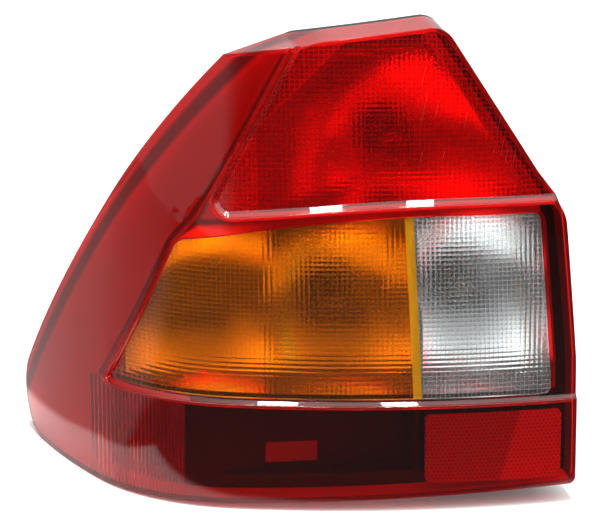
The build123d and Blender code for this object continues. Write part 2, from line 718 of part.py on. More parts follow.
def reflector(place, chamber, side_bowls=()):
    """Reflector that lines one chamber, open round its bulb, with side bowls as (place, bottom_y)."""
    bowls = [(place, BULB_BOWL_Y), *side_bowls]
    with BuildPart() as hollow:
        for axis, bottom_y in bowls:
            add(bowl(axis, bottom_y, 0))
        add(chamber_block(chamber, 0, REFLECTOR_WALL), mode=Mode.INTERSECT)
    with BuildPart() as rim:
        add(chamber_block(chamber, REFLECTOR_FRONT, 0))
        body_form(REFLECTOR_FRONT + REFLECTOR_WALL, mode=Mode.SUBTRACT)
    with BuildPart() as dish:
        for axis, bottom_y in bowls:
            add(bowl(axis, bottom_y, REFLECTOR_WALL))
        add(chamber_block(chamber, REFLECTOR_FRONT, 0), mode=Mode.INTERSECT)
        add(rim.part)
        add(hollow.part, mode=Mode.SUBTRACT)
        with BuildSketch(facing_front(place, -BODY_DEPTH)):
            Circle(SOCKET_HOLE_RADIUS)
        extrude(amount=FAR, mode=Mode.SUBTRACT)
    return dish.part


with BuildPart() as stop_reflector:
    add(reflector(STOP_BULB, STOP_CHAMBER))
stop_reflector.part.label = "stop_reflector"
export_step(stop_reflector.part, "parts/stop_reflector.step")

with BuildPart() as turn_reflector:
    add(reflector(TURN_BULB, TURN_CHAMBER, [(SIDE_BOWL, SIDE_BOWL_Y)]))
turn_reflector.part.label = "turn_reflector"
export_step(turn_reflector.part, "parts/turn_reflector.step")

with BuildPart() as reverse_reflector:
    add(reflector(REVERSE_BULB, REVERSE_CHAMBER))
reverse_reflector.part.label = "reverse_reflector"
export_step(reverse_reflector.part, "parts/reverse_reflector.step")

# Bulb carrier: plate, three bayonet sockets and the connector shroud
SOCKET_BORE = BASE_RADIUS + SOCKET_GAP
PIN_COLUMNS = [CONNECTOR[0] + CONNECTOR_PITCH * step for step in (-2, -1, 0, 1, 2)]
SINGLE_CONTACTS = (TURN_BULB, REVERSE_BULB)
TWIN_CONTACTS = (
    (STOP_BULB[0] - TWIN_BUTTON_X, STOP_BULB[1]),
    (STOP_BULB[0] + TWIN_BUTTON_X, STOP_BULB[1]),
)
with BuildPart() as bulb_carrier:
    extrude(corner_outline(Plane.XZ.offset(-PLATE_FRONT_Y), PLATE_OUTLINE, 0), amount=-PLATE)
    for place in (STOP_BULB, TURN_BULB, REVERSE_BULB):
        with BuildSketch(facing_front(place, BASE_TOP_Y)):
            Circle(SOCKET_BORE + SOCKET_WALL)
            Circle(SOCKET_BORE, mode=Mode.SUBTRACT)
        extrude(amount=PLATE_FRONT_Y - BASE_TOP_Y)
    for place in (STOP_BULB, TURN_BULB, REVERSE_BULB):
        with BuildSketch(facing_front(place, BASE_TOP_Y)):
            Rectangle((SOCKET_BORE + SOCKET_WALL) * 2, PIN_SLOT)
        extrude(amount=PIN_Y - BASE_TOP_Y + PIN_SLOT_FOOT, mode=Mode.SUBTRACT)
    for place in SINGLE_CONTACTS:
        with BuildSketch(facing_front(place, PLATE_FRONT_Y)):
            Circle(BUTTON_RADIUS + BUTTON_GAP)
        extrude(amount=PLATE, mode=Mode.SUBTRACT)
    for place in TWIN_CONTACTS:
        with BuildSketch(facing_front(place, PLATE_FRONT_Y)):
            Circle(TWIN_BUTTON_RADIUS + TWIN_BUTTON_GAP)
        extrude(amount=PLATE, mode=Mode.SUBTRACT)
    with BuildSketch(facing_front(CONNECTOR, PLATE_BACK_Y)):
        RectangleRounded(CONNECTOR_WIDTH, CONNECTOR_HEIGHT, CONNECTOR_WALL * 1.5)
        Rectangle(
            CONNECTOR_WIDTH - CONNECTOR_WALL * 2, CONNECTOR_HEIGHT - CONNECTOR_WALL * 2, mode=Mode.SUBTRACT
        )
    extrude(amount=CONNECTOR_DEPTH)
    for column in PIN_COLUMNS:
        with Locations(spot((column, CONNECTOR[1]), PLATE_BACK_Y + TRACK)):
            Box(TRACK_WIDTH + TRACK_GAP * 2, TRACK * 2, CONNECTOR_HEIGHT * 1.5, mode=Mode.SUBTRACT)
bulb_carrier.part.label = "bulb_carrier"
export_step(bulb_carrier.part, "parts/bulb_carrier.step")

# Gasket under the carrier's edge
with BuildPart() as carrier_gasket:
    extrude(corner_outline(Plane.XZ, PLATE_OUTLINE, GASKET_EDGE), amount=-GASKET)
    gasket_hole = corner_outline(Plane.XZ, PLATE_OUTLINE, GASKET_EDGE + GASKET_WIDTH)
    extrude(gasket_hole, amount=-GASKET, mode=Mode.SUBTRACT)
carrier_gasket.part.label = "carrier_gasket"
export_step(carrier_gasket.part, "parts/carrier_gasket.step")


def track(points, pads):
    """Contact strip on the carrier's back, with round pads and a blade standing in the connector."""
    with BuildPart() as conductor:
        extrude(strip(points, TRACK_WIDTH), amount=-TRACK)
        for x, height, radius in pads:
            with BuildSketch(facing_front((x, height), 0)):
                Circle(radius)
            extrude(amount=TRACK)
        with BuildSketch(facing_front(points[0], 0)):
            Rectangle(BLADE_WIDTH, BLADE)
        extrude(amount=TRACK + BLADE_LENGTH)
    return Pos(0, PLATE_BACK_Y, 0) * conductor.part


PAD_RADIUS = BUTTON_RADIUS + PAD_EDGE
TWIN_PAD_RADIUS = TWIN_BUTTON_RADIUS + TWIN_PAD_EDGE
PIN_HEIGHT = CONNECTOR[1]
with BuildPart() as turn_track:
    turn_run = [(PIN_COLUMNS[0], PIN_HEIGHT), (PIN_COLUMNS[0], PIN_HEIGHT - TRACK_DROP), TURN_BULB]
    add(track(turn_run, [(*TURN_BULB, PAD_RADIUS)]))
turn_track.part.label = "turn_track"
export_step(turn_track.part, "parts/turn_track.step")

with BuildPart() as tail_track:
    tail_run = [(PIN_COLUMNS[1], PIN_HEIGHT), (PIN_COLUMNS[1], PIN_HEIGHT + TRACK_RISE), TWIN_CONTACTS[0]]
    add(track(tail_run, [(*TWIN_CONTACTS[0], TWIN_PAD_RADIUS)]))
tail_track.part.label = "tail_track"
export_step(tail_track.part, "parts/tail_track.step")

with BuildPart() as stop_track:
    stop_run = [(PIN_COLUMNS[2], PIN_HEIGHT), (PIN_COLUMNS[2], PIN_HEIGHT + TRACK_RISE), TWIN_CONTACTS[1]]
    add(track(stop_run, [(*TWIN_CONTACTS[1], TWIN_PAD_RADIUS)]))
stop_track.part.label = "stop_track"
export_step(stop_track.part, "parts/stop_track.step")

with BuildPart() as reverse_track:
    reverse_run = [(PIN_COLUMNS[4], PIN_HEIGHT), (PIN_COLUMNS[4], PIN_HEIGHT - TRACK_DROP), REVERSE_BULB]
    add(track(reverse_run, [(*REVERSE_BULB, PAD_RADIUS)]))
reverse_track.part.label = "reverse_track"
export_step(reverse_track.part, "parts/reverse_track.step")

EARTH_KNOT = (PIN_COLUMNS[3], PIN_HEIGHT - EARTH_DROP)
with BuildPart() as earth_track:
    earth_end = (REVERSE_BULB[0] - SOCKET_BORE - EARTH_REACH, REVERSE_BULB[1])
    add(track([(PIN_COLUMNS[3], PIN_HEIGHT), EARTH_KNOT, earth_end], []))
    with BuildSketch(facing_front((0, -FOOT_Z), PLATE_BACK_Y)):
        with BuildLine():
            Polyline(
                (EARTH_KNOT[0], -FOOT_Z - EARTH_KNOT[1]),
                (TURN_BULB[0] + EARTH_SPREAD, -FOOT_Z - TURN_BULB[1] + EARTH_LIFT),
                (TURN_BULB[0] + SOCKET_BORE, -FOOT_Z - TURN_BULB[1] + EARTH_LIFT),
            )
        trace(line_width=TRACK_WIDTH)
    extrude(amount=TRACK)
earth_track.part.label = "earth_track"
export_step(earth_track.part, "parts/earth_track.step")


def glass_half(wall):
    """Half section of a bulb's glass, a ball on a neck with a sealed tip, drawn in by a wall."""
    ball_radius = GLASS_RADIUS - wall
    neck_turn = degrees(acos((NECK_RADIUS - wall) / ball_radius))
    tip_turn = degrees(acos(GLASS_TIP_RADIUS / ball_radius))
    with BuildSketch() as half:
        with BuildLine():
            ball = CenterArc((0, GLASS_TIP_Y + GLASS_RADIUS), ball_radius, neck_turn, -(neck_turn + tip_turn))
            Polyline(ball @ 1, (0, (ball @ 1).Y), (0, BASE_TOP_Y), (NECK_RADIUS - wall, BASE_TOP_Y), ball @ 0)
        make_face()
    return half.sketch


def bulb_glass(place):
    """Hollow glass of a bulb."""
    with BuildPart() as glass:
        revolve(glass_half(0), axis=Axis.Y)
        revolve(glass_half(GLASS_WALL), axis=Axis.Y, mode=Mode.SUBTRACT)
    return Pos(spot(place)) * glass.part


def bulb_base(place, buttons):
    """Bayonet base of a bulb: shell, rim round the glass, two pins and its contact buttons."""
    with BuildPart() as base:
        with BuildSketch(facing_front(place, BASE_TOP_Y - BASE_RIM)):
            Circle(BASE_RADIUS)
        extrude(amount=BASE_FOOT_Y - BASE_TOP_Y + BASE_RIM)
        chamfer(base.edges().sort_by(Axis.Y)[-1], BASE_CHAMFER)
        with BuildSketch(facing_front(place, BASE_TOP_Y - BASE_RIM)):
            Circle(NECK_RADIUS)
        extrude(amount=BASE_RIM, mode=Mode.SUBTRACT)
        with Locations(spot(place, PIN_Y)):
            Cylinder(PIN_RADIUS, PIN_REACH * 2, rotation=(0, 90, 0))
        for x, height, radius in buttons:
            with BuildSketch(facing_front((x, height), 0)):
                Circle(radius)
            extrude(amount=PLATE_BACK_Y - BUTTON_SINK)
    return base.part


TWIN_COILS = [(-TWIN_COIL_OFFSET, FILAMENT_Y), (TWIN_COIL_OFFSET, FILAMENT_Y + TWIN_COIL_STEP)]


def bulb_filament(place, wires):
    """Lead wires and coils of a bulb, in pairs given by how far along the axis each coil sits."""
    with BuildPart() as filament:
        for side, coil_y in wires:
            with Locations(spot((place[0], place[1] + side), coil_y)):
                Cylinder(COIL_RADIUS, COIL_LENGTH, rotation=(0, 90, 0))
            for end in (-LEAD_SPREAD, LEAD_SPREAD):
                with BuildSketch(facing_front((place[0] + end, place[1] + side), coil_y)):
                    Rectangle(LEAD_WIDTH, LEAD_WIDTH)
                extrude(amount=BASE_TOP_Y - coil_y)
    return filament.part


with BuildPart() as stop_bulb_glass:
    add(bulb_glass(STOP_BULB))
stop_bulb_glass.part.label = "stop_bulb_glass"
export_step(stop_bulb_glass.part, "parts/stop_bulb_glass.step")

with BuildPart() as stop_bulb_base:
    add(bulb_base(STOP_BULB, [(*contact, TWIN_BUTTON_RADIUS) for contact in TWIN_CONTACTS]))
stop_bulb_base.part.label = "stop_bulb_base"
export_step(stop_bulb_base.part, "parts/stop_bulb_base.step")

with BuildPart() as stop_bulb_filament:
    add(bulb_filament(STOP_BULB, TWIN_COILS))
stop_bulb_filament.part.label = "stop_bulb_filament"
export_step(stop_bulb_filament.part, "parts/stop_bulb_filament.step")

with BuildPart() as turn_bulb_glass:
    add(bulb_glass(TURN_BULB))
turn_bulb_glass.part.label = "turn_bulb_glass"
export_step(turn_bulb_glass.part, "parts/turn_bulb_glass.step")

with BuildPart() as turn_bulb_base:
    add(bulb_base(TURN_BULB, [(*TURN_BULB, BUTTON_RADIUS)]))
turn_bulb_base.part.label = "turn_bulb_base"
export_step(turn_bulb_base.part, "parts/turn_bulb_base.step")

with BuildPart() as turn_bulb_filament:
    add(bulb_filament(TURN_BULB, [(0.0, FILAMENT_Y)]))
turn_bulb_filament.part.label = "turn_bulb_filament"
export_step(turn_bulb_filament.part, "parts/turn_bulb_filament.step")

with BuildPart() as reverse_bulb_glass:
    add(bulb_glass(REVERSE_BULB))
reverse_bulb_glass.part.label = "reverse_bulb_glass"
export_step(reverse_bulb_glass.part, "parts/reverse_bulb_glass.step")

with BuildPart() as reverse_bulb_base:
    add(bulb_base(REVERSE_BULB, [(*REVERSE_BULB, BUTTON_RADIUS)]))
reverse_bulb_base.part.label = "reverse_bulb_base"
export_step(reverse_bulb_base.part, "parts/reverse_bulb_base.step")

with BuildPart() as reverse_bulb_filament:
    add(bulb_filament(REVERSE_BULB, [(0.0, FILAMENT_Y)]))
reverse_bulb_filament.part.label = "reverse_bulb_filament"
export_step(reverse_bulb_filament.part, "parts/reverse_bulb_filament.step")
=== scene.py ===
"""Looks of a tail light cluster: lens optics, finishes, floor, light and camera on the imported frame."""

import logging
import math
from dataclasses import dataclass
from enum import Enum, IntEnum
from typing import Any, Optional, Union

import bmesh
import bpy
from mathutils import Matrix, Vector


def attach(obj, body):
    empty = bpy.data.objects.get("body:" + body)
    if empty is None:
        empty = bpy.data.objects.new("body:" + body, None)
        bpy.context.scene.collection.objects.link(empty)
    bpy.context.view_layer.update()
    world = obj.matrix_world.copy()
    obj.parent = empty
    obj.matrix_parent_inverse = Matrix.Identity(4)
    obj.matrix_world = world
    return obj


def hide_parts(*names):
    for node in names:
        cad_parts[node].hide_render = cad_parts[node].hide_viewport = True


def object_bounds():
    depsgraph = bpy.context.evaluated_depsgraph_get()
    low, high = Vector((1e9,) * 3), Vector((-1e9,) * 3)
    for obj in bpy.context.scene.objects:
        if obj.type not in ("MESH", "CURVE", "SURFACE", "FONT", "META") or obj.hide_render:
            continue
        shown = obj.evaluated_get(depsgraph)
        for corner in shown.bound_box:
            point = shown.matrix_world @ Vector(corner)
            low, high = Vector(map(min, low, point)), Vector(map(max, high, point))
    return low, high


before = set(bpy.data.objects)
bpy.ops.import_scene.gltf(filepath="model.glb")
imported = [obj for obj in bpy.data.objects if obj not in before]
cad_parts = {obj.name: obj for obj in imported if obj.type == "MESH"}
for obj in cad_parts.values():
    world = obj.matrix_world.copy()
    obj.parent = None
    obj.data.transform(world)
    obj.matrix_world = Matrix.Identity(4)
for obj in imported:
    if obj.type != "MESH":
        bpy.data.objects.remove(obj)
CAD_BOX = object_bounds()

LOG = logging.getLogger("tail_light")
MM = 0.001
# Height of the lamp's foot line in the row frame, in millimetres.
FOOT_Z = -165.0
BODY = "root"
# Distances in metres within which points become one: at a cut, and between the CAD's loose triangles.
CUT_MERGE = 1e-7
WELD = 2e-6
ACRYLIC_IOR = 1.49
# Below the usual 0.5, because the photographed lens mirrors the room more weakly than new acrylic.
ACRYLIC_SPECULAR = 0.32
RED = "#F62A24"
AMBER = "#E6A01C"
CLEAR = "#ECEFEF"

Socket = bpy.types.NodeSocket
Tree = bpy.types.NodeTree
# Place across the car, height above the foot line and radius of an outline's corner, in millimetres.
Corner = tuple[float, float, float]


def linear(code: str) -> tuple[float, float, float, float]:
    """Turns an sRGB hex colour into linear values.

    Args:
        code: Colour as "#RRGGBB".

    Returns:
        Linear red, green, blue and an alpha of one.
    """
    shares = [int(code[i : i + 2], 16) / 255 for i in (1, 3, 5)]
    values = [s / 12.92 if s <= 0.04045 else ((s + 0.055) / 1.055) ** 2.4 for s in shares]
    return (values[0], values[1], values[2], 1.0)


def node(tree: Tree, kind: str, inputs: Optional[dict[Any, Any]] = None, **settings: Any) -> bpy.types.Node:
    """Adds a shader node with its settings, values and links.

    Args:
        tree: Node tree that takes the node.
        kind: Blender's name of the node type.
        inputs: Values or sockets by input name or number.
        **settings: Properties of the node itself.

    Returns:
        The new node.
    """
    made = tree.nodes.new(kind)
    for name, value in settings.items():
        setattr(made, name, value)
    for key, value in (inputs or {}).items():
        if isinstance(value, Socket):
            tree.links.new(value, made.inputs[key])
        else:
            made.inputs[key].default_value = value
    return made


def object_place(tree: Tree) -> Socket:
    """Gives the place on the piece, in metres."""
    return node(tree, "ShaderNodeTexCoord").outputs["Object"]


def wave_scale(pitch_mm: float) -> float:
    """Gives a Wave Texture's scale for a pitch, as its bands repeat every 2 pi / 20 units."""
    return 2 * math.pi / (20 * pitch_mm * MM)


def point(x: float, height: float, y: float = 0.0) -> Vector:
    """Gives the point in metres at millimetres across the car, above the foot line and along the car."""
    return Vector((x, y, FOOT_Z + height)) * MM


def front_place(place: Vector) -> tuple[float, float]:
    """Gives how far across the car and above the foot line a point in metres lies, in millimetres."""
    return place.x / MM, place.z / MM - FOOT_Z


@dataclass(frozen=True)
class Fade:
    """Change from one level to another between two values."""

    start: float
    end: float
    low: float = 0.0
    high: float = 1.0

    def inputs(self, value: Socket) -> dict[str, Any]:
        """Gives the inputs of a Map Range that reads the value."""
        places = {"Value": value, "From Min": self.start, "From Max": self.end}
        return {**places, "To Min": self.low, "To Max": self.high}


class Optic(Enum):
    """Optics moulded into the inside of a lens."""

    PLAIN = "plain"
    LINES = "lines"
    FLUTES = "flutes"
    SATIN = "satin"
    PILLOWS = "pillows"


@dataclass(frozen=True)
class LampSkin:
    """Curved outer skin of the lamp and the wall behind it, in millimetres, as the CAD draws them."""

    rear_centre: tuple[float, float] = (110.0, 405.0)
    rear_radius: float = 500.0
    corner_radius: float = 115.0
    rear_turn: float = 16.0
    corner_turn: float = 65.0
    lean_start: float = 60.0
    lean_end: float = 290.0
    lean_top: float = 30.0
    lean_power: float = 1.6
    wall: float = 2.8
    middle_step: float = 3.0
    upper_step: float = 6.5
    probe: float = 0.1

    def lean(self, height: float) -> float:
        """Gives how far the skin leans in at a height above the foot line."""
        share = max(0.0, height - self.lean_start) / (self.lean_end - self.lean_start)
        return self.lean_top * share**self.lean_power

    def corner_centre(self) -> tuple[float, float]:
        """Finds the centre of the corner arc in plan.

        Returns:
            Place across and along the car.
        """
        turn = math.radians(self.rear_turn)
        reach = self.rear_radius - self.corner_radius
        return (
            self.rear_centre[0] - math.sin(turn) * reach,
            self.rear_centre[1] - math.cos(turn) * reach,
        )

    def y_at(self, x: float, height: float, depth: float) -> float:
        """Finds the skin along the car.

        Args:
            x: Place across the car.
            height: Height above the foot line.
            depth: How far behind the outer skin.

        Returns:
            Place along the car.
        """
        inset = self.lean(height) + depth
        radius = self.rear_radius - inset
        centre = self.rear_centre
        if x < centre[0] - math.sin(math.radians(self.rear_turn)) * radius:
            radius = self.corner_radius - inset
            centre = self.corner_centre()
        across = min(abs(x - centre[0]), radius)
        return centre[1] - math.sqrt(radius**2 - across**2)

    def depth_at(self, place: Vector) -> float:
        """Measures how far a point lies behind the outer skin.

        Args:
            place: The point, in metres.

        Returns:
            The depth in millimetres.
        """
        x, y, z = (value / MM for value in place)
        lean = self.lean(z - FOOT_Z)
        centre = self.rear_centre
        radius = self.rear_radius
        if math.degrees(math.atan2(centre[0] - x, centre[1] - y)) > self.rear_turn:
            centre = self.corner_centre()
            radius = self.corner_radius
            turn = math.radians(self.corner_turn)
            if math.atan2(centre[0] - x, centre[1] - y) > turn:
                reach = self.rear_radius - self.corner_radius
                centre = (centre[0] + math.sin(turn) * reach, centre[1] + math.cos(turn) * reach)
                radius = self.rear_radius
        return radius - lean - math.hypot(x - centre[0], y - centre[1])

    def outward(self, place: Vector) -> Vector:
        """Finds the level direction out of the lamp, from how the depth changes at a point.

        Args:
            place: The point, in metres.

        Returns:
            The direction, of length one.
        """
        step = self.probe * MM
        across = self.depth_at(place - Vector((step, 0, 0))) - self.depth_at(place + Vector((step, 0, 0)))
        along = self.depth_at(place - Vector((0, step, 0))) - self.depth_at(place + Vector((0, step, 0)))
        return Vector((across, along, 0)).normalized()


SKIN = LampSkin()


@dataclass(frozen=True)
class PaintedShadeBand:
    """Band of painted shade along the wing's edge: a darker red painted into the acrylic's colour, in place
    of the black butyl behind it showing through.
    """

    normal: tuple[float, float, float]
    offset_mm: float
    # Painted shade: the band's dark red.
    colour: str = "#5E1812"
    start_mm: float = 5.5
    end_mm: float = 13.5
    fade_mm: float = 4.0

    def colour_socket(self, tree: Tree, tint: str) -> Socket:
        """Draws the band of painted shade across the wing.

        Args:
            tree: The material's nodes.
            tint: The acrylic's own colour.

        Returns:
            The acrylic's colour, with painted shade inside the band.
        """
        away = node(
            tree, "ShaderNodeVectorMath", {0: object_place(tree), 1: self.normal}, operation="DOT_PRODUCT"
        )
        ramps = []
        for place, way in ((self.start_mm, 1.0), (self.end_mm, -1.0)):
            middle = (place + self.offset_mm) * MM
            half = way * self.fade_mm * MM / 2
            ramp = node(
                tree,
                "ShaderNodeMapRange",
                Fade(middle - half, middle + half).inputs(away.outputs["Value"]),
                interpolation_type="SMOOTHSTEP",
            )
            ramps.append(ramp.outputs["Result"])
        share = node(tree, "ShaderNodeMath", {0: ramps[0], 1: ramps[1]}, operation="MULTIPLY")
        mixed = node(
            tree,
            "ShaderNodeMix",
            {"Factor": share.outputs[0], "A": linear(tint), "B": linear(self.colour)},
            data_type="RGBA",
        )
        return mixed.outputs["Result"]


@dataclass(frozen=True)
class WipeMarks:
    """Fine dull streaks that wiping leaves on the upper inboard part of polished acrylic."""

    start_x_mm: float = 62.0
    start_z_mm: float = 18.0
    fade_mm: float = 25.0
    slant: float = 0.22
    # Wider than real wipe marks, which are too fine to show.
    width_mm: float = 1.6
    length_mm: float = 45.0
    roughness: float = 0.42
    density: Fade = Fade(0.6, 0.7)

    def roughness_socket(self, tree: Tree, polished: float) -> Socket:
        """Draws the streaks as noise that is stretched along the wiping.

        Args:
            tree: The material's nodes.
            polished: Roughness beside the streaks.

        Returns:
            The face's roughness, duller in the streaks.
        """
        spot = node(tree, "ShaderNodeSeparateXYZ", {"Vector": object_place(tree)})
        x, z = spot.outputs["X"], spot.outputs["Z"]
        across = node(tree, "ShaderNodeMath", {0: z, 1: -self.slant, 2: x}, operation="MULTIPLY_ADD")
        scaled = {}
        for axis, value, size in (("X", across.outputs[0], self.width_mm), ("Z", z, self.length_mm)):
            count = node(tree, "ShaderNodeMath", {0: value, 1: size * MM}, operation="DIVIDE")
            scaled[axis] = count.outputs[0]
        stretched = node(tree, "ShaderNodeCombineXYZ", scaled).outputs["Vector"]
        streak = node(tree, "ShaderNodeTexNoise", {"Vector": stretched, "Scale": 1.0, "Detail": 2.0})
        mark = node(tree, "ShaderNodeMapRange", self.density.inputs(streak.outputs["Fac"])).outputs["Result"]
        for value, start in ((x, self.start_x_mm), (z, self.start_z_mm)):
            region = Fade(start * MM, (start + self.fade_mm) * MM)
            inside = node(tree, "ShaderNodeMapRange", region.inputs(value))
            both = node(tree, "ShaderNodeMath", {0: mark, 1: inside.outputs["Result"]}, operation="MULTIPLY")
            mark = both.outputs[0]
        gloss = node(tree, "ShaderNodeMapRange", Fade(0.0, 1.0, polished, self.roughness).inputs(mark))
        return gloss.outputs["Result"]


@dataclass(frozen=True)
class TintedAcrylic:
    """Injection-moulded acrylic: clear, tinted right through, polished outside and with optics inside."""

    name: str
    tint: str
    optic: Optic = Optic.PLAIN
    roughness: float = 0.03
    pitch_mm: float = 2.2
    sag_mm: float = 0.12
    clarity: float = 1.0
    edge_mm: float = 0.0
    edge_samples: int = 6
    cusp: float = 0.0
    line_valley: float = 0.25
    pillow_valley: float = 0.12
    origin_mm: tuple[float, float] = (0.0, 0.0)
    # Band of painted shade, painted into the acrylic's colour.
    painted_shade_band: Optional[PaintedShadeBand] = None
    wiped: Optional[WipeMarks] = None

    def material(self) -> bpy.types.Material:
        """Builds the material, with the optic as a fine relief.

        Returns:
            The new material.
        """
        made = bpy.data.materials.new(self.name)
        made.use_nodes = True
        tree = made.node_tree
        shader = tree.nodes["Principled BSDF"]
        shader.inputs["Base Color"].default_value = linear(self.tint)
        if self.painted_shade_band is not None:
            tree.links.new(self.painted_shade_band.colour_socket(tree, self.tint), shader.inputs["Base Color"])
        shader.inputs["Transmission Weight"].default_value = self.clarity
        shader.inputs["IOR"].default_value = ACRYLIC_IOR
        shader.inputs["Roughness"].default_value = self.roughness
        if self.wiped is not None:
            tree.links.new(self.wiped.roughness_socket(tree, self.roughness), shader.inputs["Roughness"])
        shader.inputs["Specular IOR Level"].default_value = ACRYLIC_SPECULAR
        height = self.relief(tree)
        if height is not None:
            relief = {"Strength": 1.0, "Distance": self.sag_mm * MM, "Height": height}
            tree.links.new(node(tree, "ShaderNodeBump", relief).outputs["Normal"], shader.inputs["Normal"])
        elif self.edge_mm > 0:
            edge = node(tree, "ShaderNodeBevel", {"Radius": self.edge_mm * MM}, samples=self.edge_samples)
            tree.links.new(edge.outputs["Normal"], shader.inputs["Normal"])
        return made

    def dim(self, tree: Tree, rows: Socket, columns: Socket, width: float) -> None:
        """Lets the sharp valleys between the optics scatter some of the light.

        Args:
            tree: The material's nodes.
            rows: Distance from the valleys between rows.
            columns: Distance from the valleys between columns.
            width: Distance at which the acrylic is clear again.
        """
        valley = node(tree, "ShaderNodeMath", {0: rows, 1: columns}, operation="MINIMUM")
        fade = Fade(0.0, width, self.clarity - self.cusp, self.clarity)
        clear = node(tree, "ShaderNodeMapRange", fade.inputs(valley.outputs[0]))
        shader = tree.nodes["Principled BSDF"]
        tree.links.new(clear.outputs["Result"], shader.inputs["Transmission Weight"])

    def scatter(self, tree: Tree, place: Socket) -> None:
        """Draws the valleys of a grid of modelled pillows.

        Args:
            tree: The material's nodes.
            place: Place on the piece.
        """
        spot = node(tree, "ShaderNodeSeparateXYZ", {"Vector": place})
        found = []
        for axis, start in (("X", self.origin_mm[0]), ("Z", FOOT_Z + self.origin_mm[1])):
            away = node(tree, "ShaderNodeMath", {0: spot.outputs[axis], 1: start * MM}, operation="SUBTRACT")
            pitch = self.pitch_mm * MM
            count = node(tree, "ShaderNodeMath", {0: away.outputs[0], 1: pitch}, operation="DIVIDE")
            near = node(tree, "ShaderNodeMath", {0: count.outputs[0], 1: 0.5}, operation="PINGPONG")
            found.append(near.outputs[0])
        self.dim(tree, found[1], found[0], self.pillow_valley)

    def relief(self, tree: Tree) -> Optional[Socket]:
        """Draws the optic.

        Args:
            tree: The material's nodes.

        Returns:
            Height of the moulded relief, or nothing for a face that is plain or modelled.
        """
        place = object_place(tree)
        wave = {"Vector": place, "Scale": wave_scale(self.pitch_mm)}
        if self.optic is Optic.LINES:
            rows = node(tree, "ShaderNodeTexWave", wave, bands_direction="Z").outputs["Fac"]
            columns = node(tree, "ShaderNodeTexWave", wave, bands_direction="X").outputs["Fac"]
            self.dim(tree, rows, columns, self.line_valley)
            return node(tree, "ShaderNodeMix", {"Factor": 0.5, "A": rows, "B": columns}).outputs["Result"]
        if self.optic is Optic.FLUTES:
            return node(tree, "ShaderNodeTexWave", wave, bands_direction="X").outputs["Fac"]
        if self.optic is Optic.SATIN:
            grain = node(tree, "ShaderNodeTexNoise", {"Vector": place, "Scale": 1 / (self.pitch_mm * MM)})
            return grain.outputs["Fac"]
        if self.optic is Optic.PILLOWS:
            self.scatter(tree, place)
        return None


@dataclass(frozen=True)
class Moulding:
    """Opaque plastic, rubber or foam with a moulded grain."""

    name: str
    colour: str
    worn: str
    roughness: float = 0.45
    # Coarser than a mould's real grain, which is too fine to show.
    grain_mm: float = 0.6
    grain_depth_mm: float = 0.02
    cloud_mm: float = 25.0
    gloss_spread: float = 0.08

    def material(self) -> bpy.types.Material:
        """Builds the material: two close shades, a changing gloss and a fine grain.

        Returns:
            The new material.
        """
        made = bpy.data.materials.new(self.name)
        made.use_nodes = True
        tree = made.node_tree
        shader = tree.nodes["Principled BSDF"]
        place = object_place(tree)
        noise = {"Vector": place, "Scale": 1 / (self.cloud_mm * MM), "Detail": 4.0}
        cloud = node(tree, "ShaderNodeTexNoise", noise).outputs["Fac"]
        shade = node(
            tree,
            "ShaderNodeMix",
            {"Factor": cloud, "A": linear(self.colour), "B": linear(self.worn)},
            data_type="RGBA",
        )
        change = Fade(0.0, 1.0, self.roughness - self.gloss_spread, self.roughness + self.gloss_spread)
        gloss = node(tree, "ShaderNodeMapRange", change.inputs(cloud))
        grain = node(tree, "ShaderNodeTexNoise", {"Vector": place, "Scale": 1 / (self.grain_mm * MM)})
        bump = node(
            tree,
            "ShaderNodeBump",
            {"Strength": 1.0, "Distance": self.grain_depth_mm * MM, "Height": grain.outputs["Fac"]},
        )
        tree.links.new(shade.outputs["Result"], shader.inputs["Base Color"])
        tree.links.new(gloss.outputs["Result"], shader.inputs["Roughness"])
        tree.links.new(bump.outputs["Normal"], shader.inputs["Normal"])
        return made


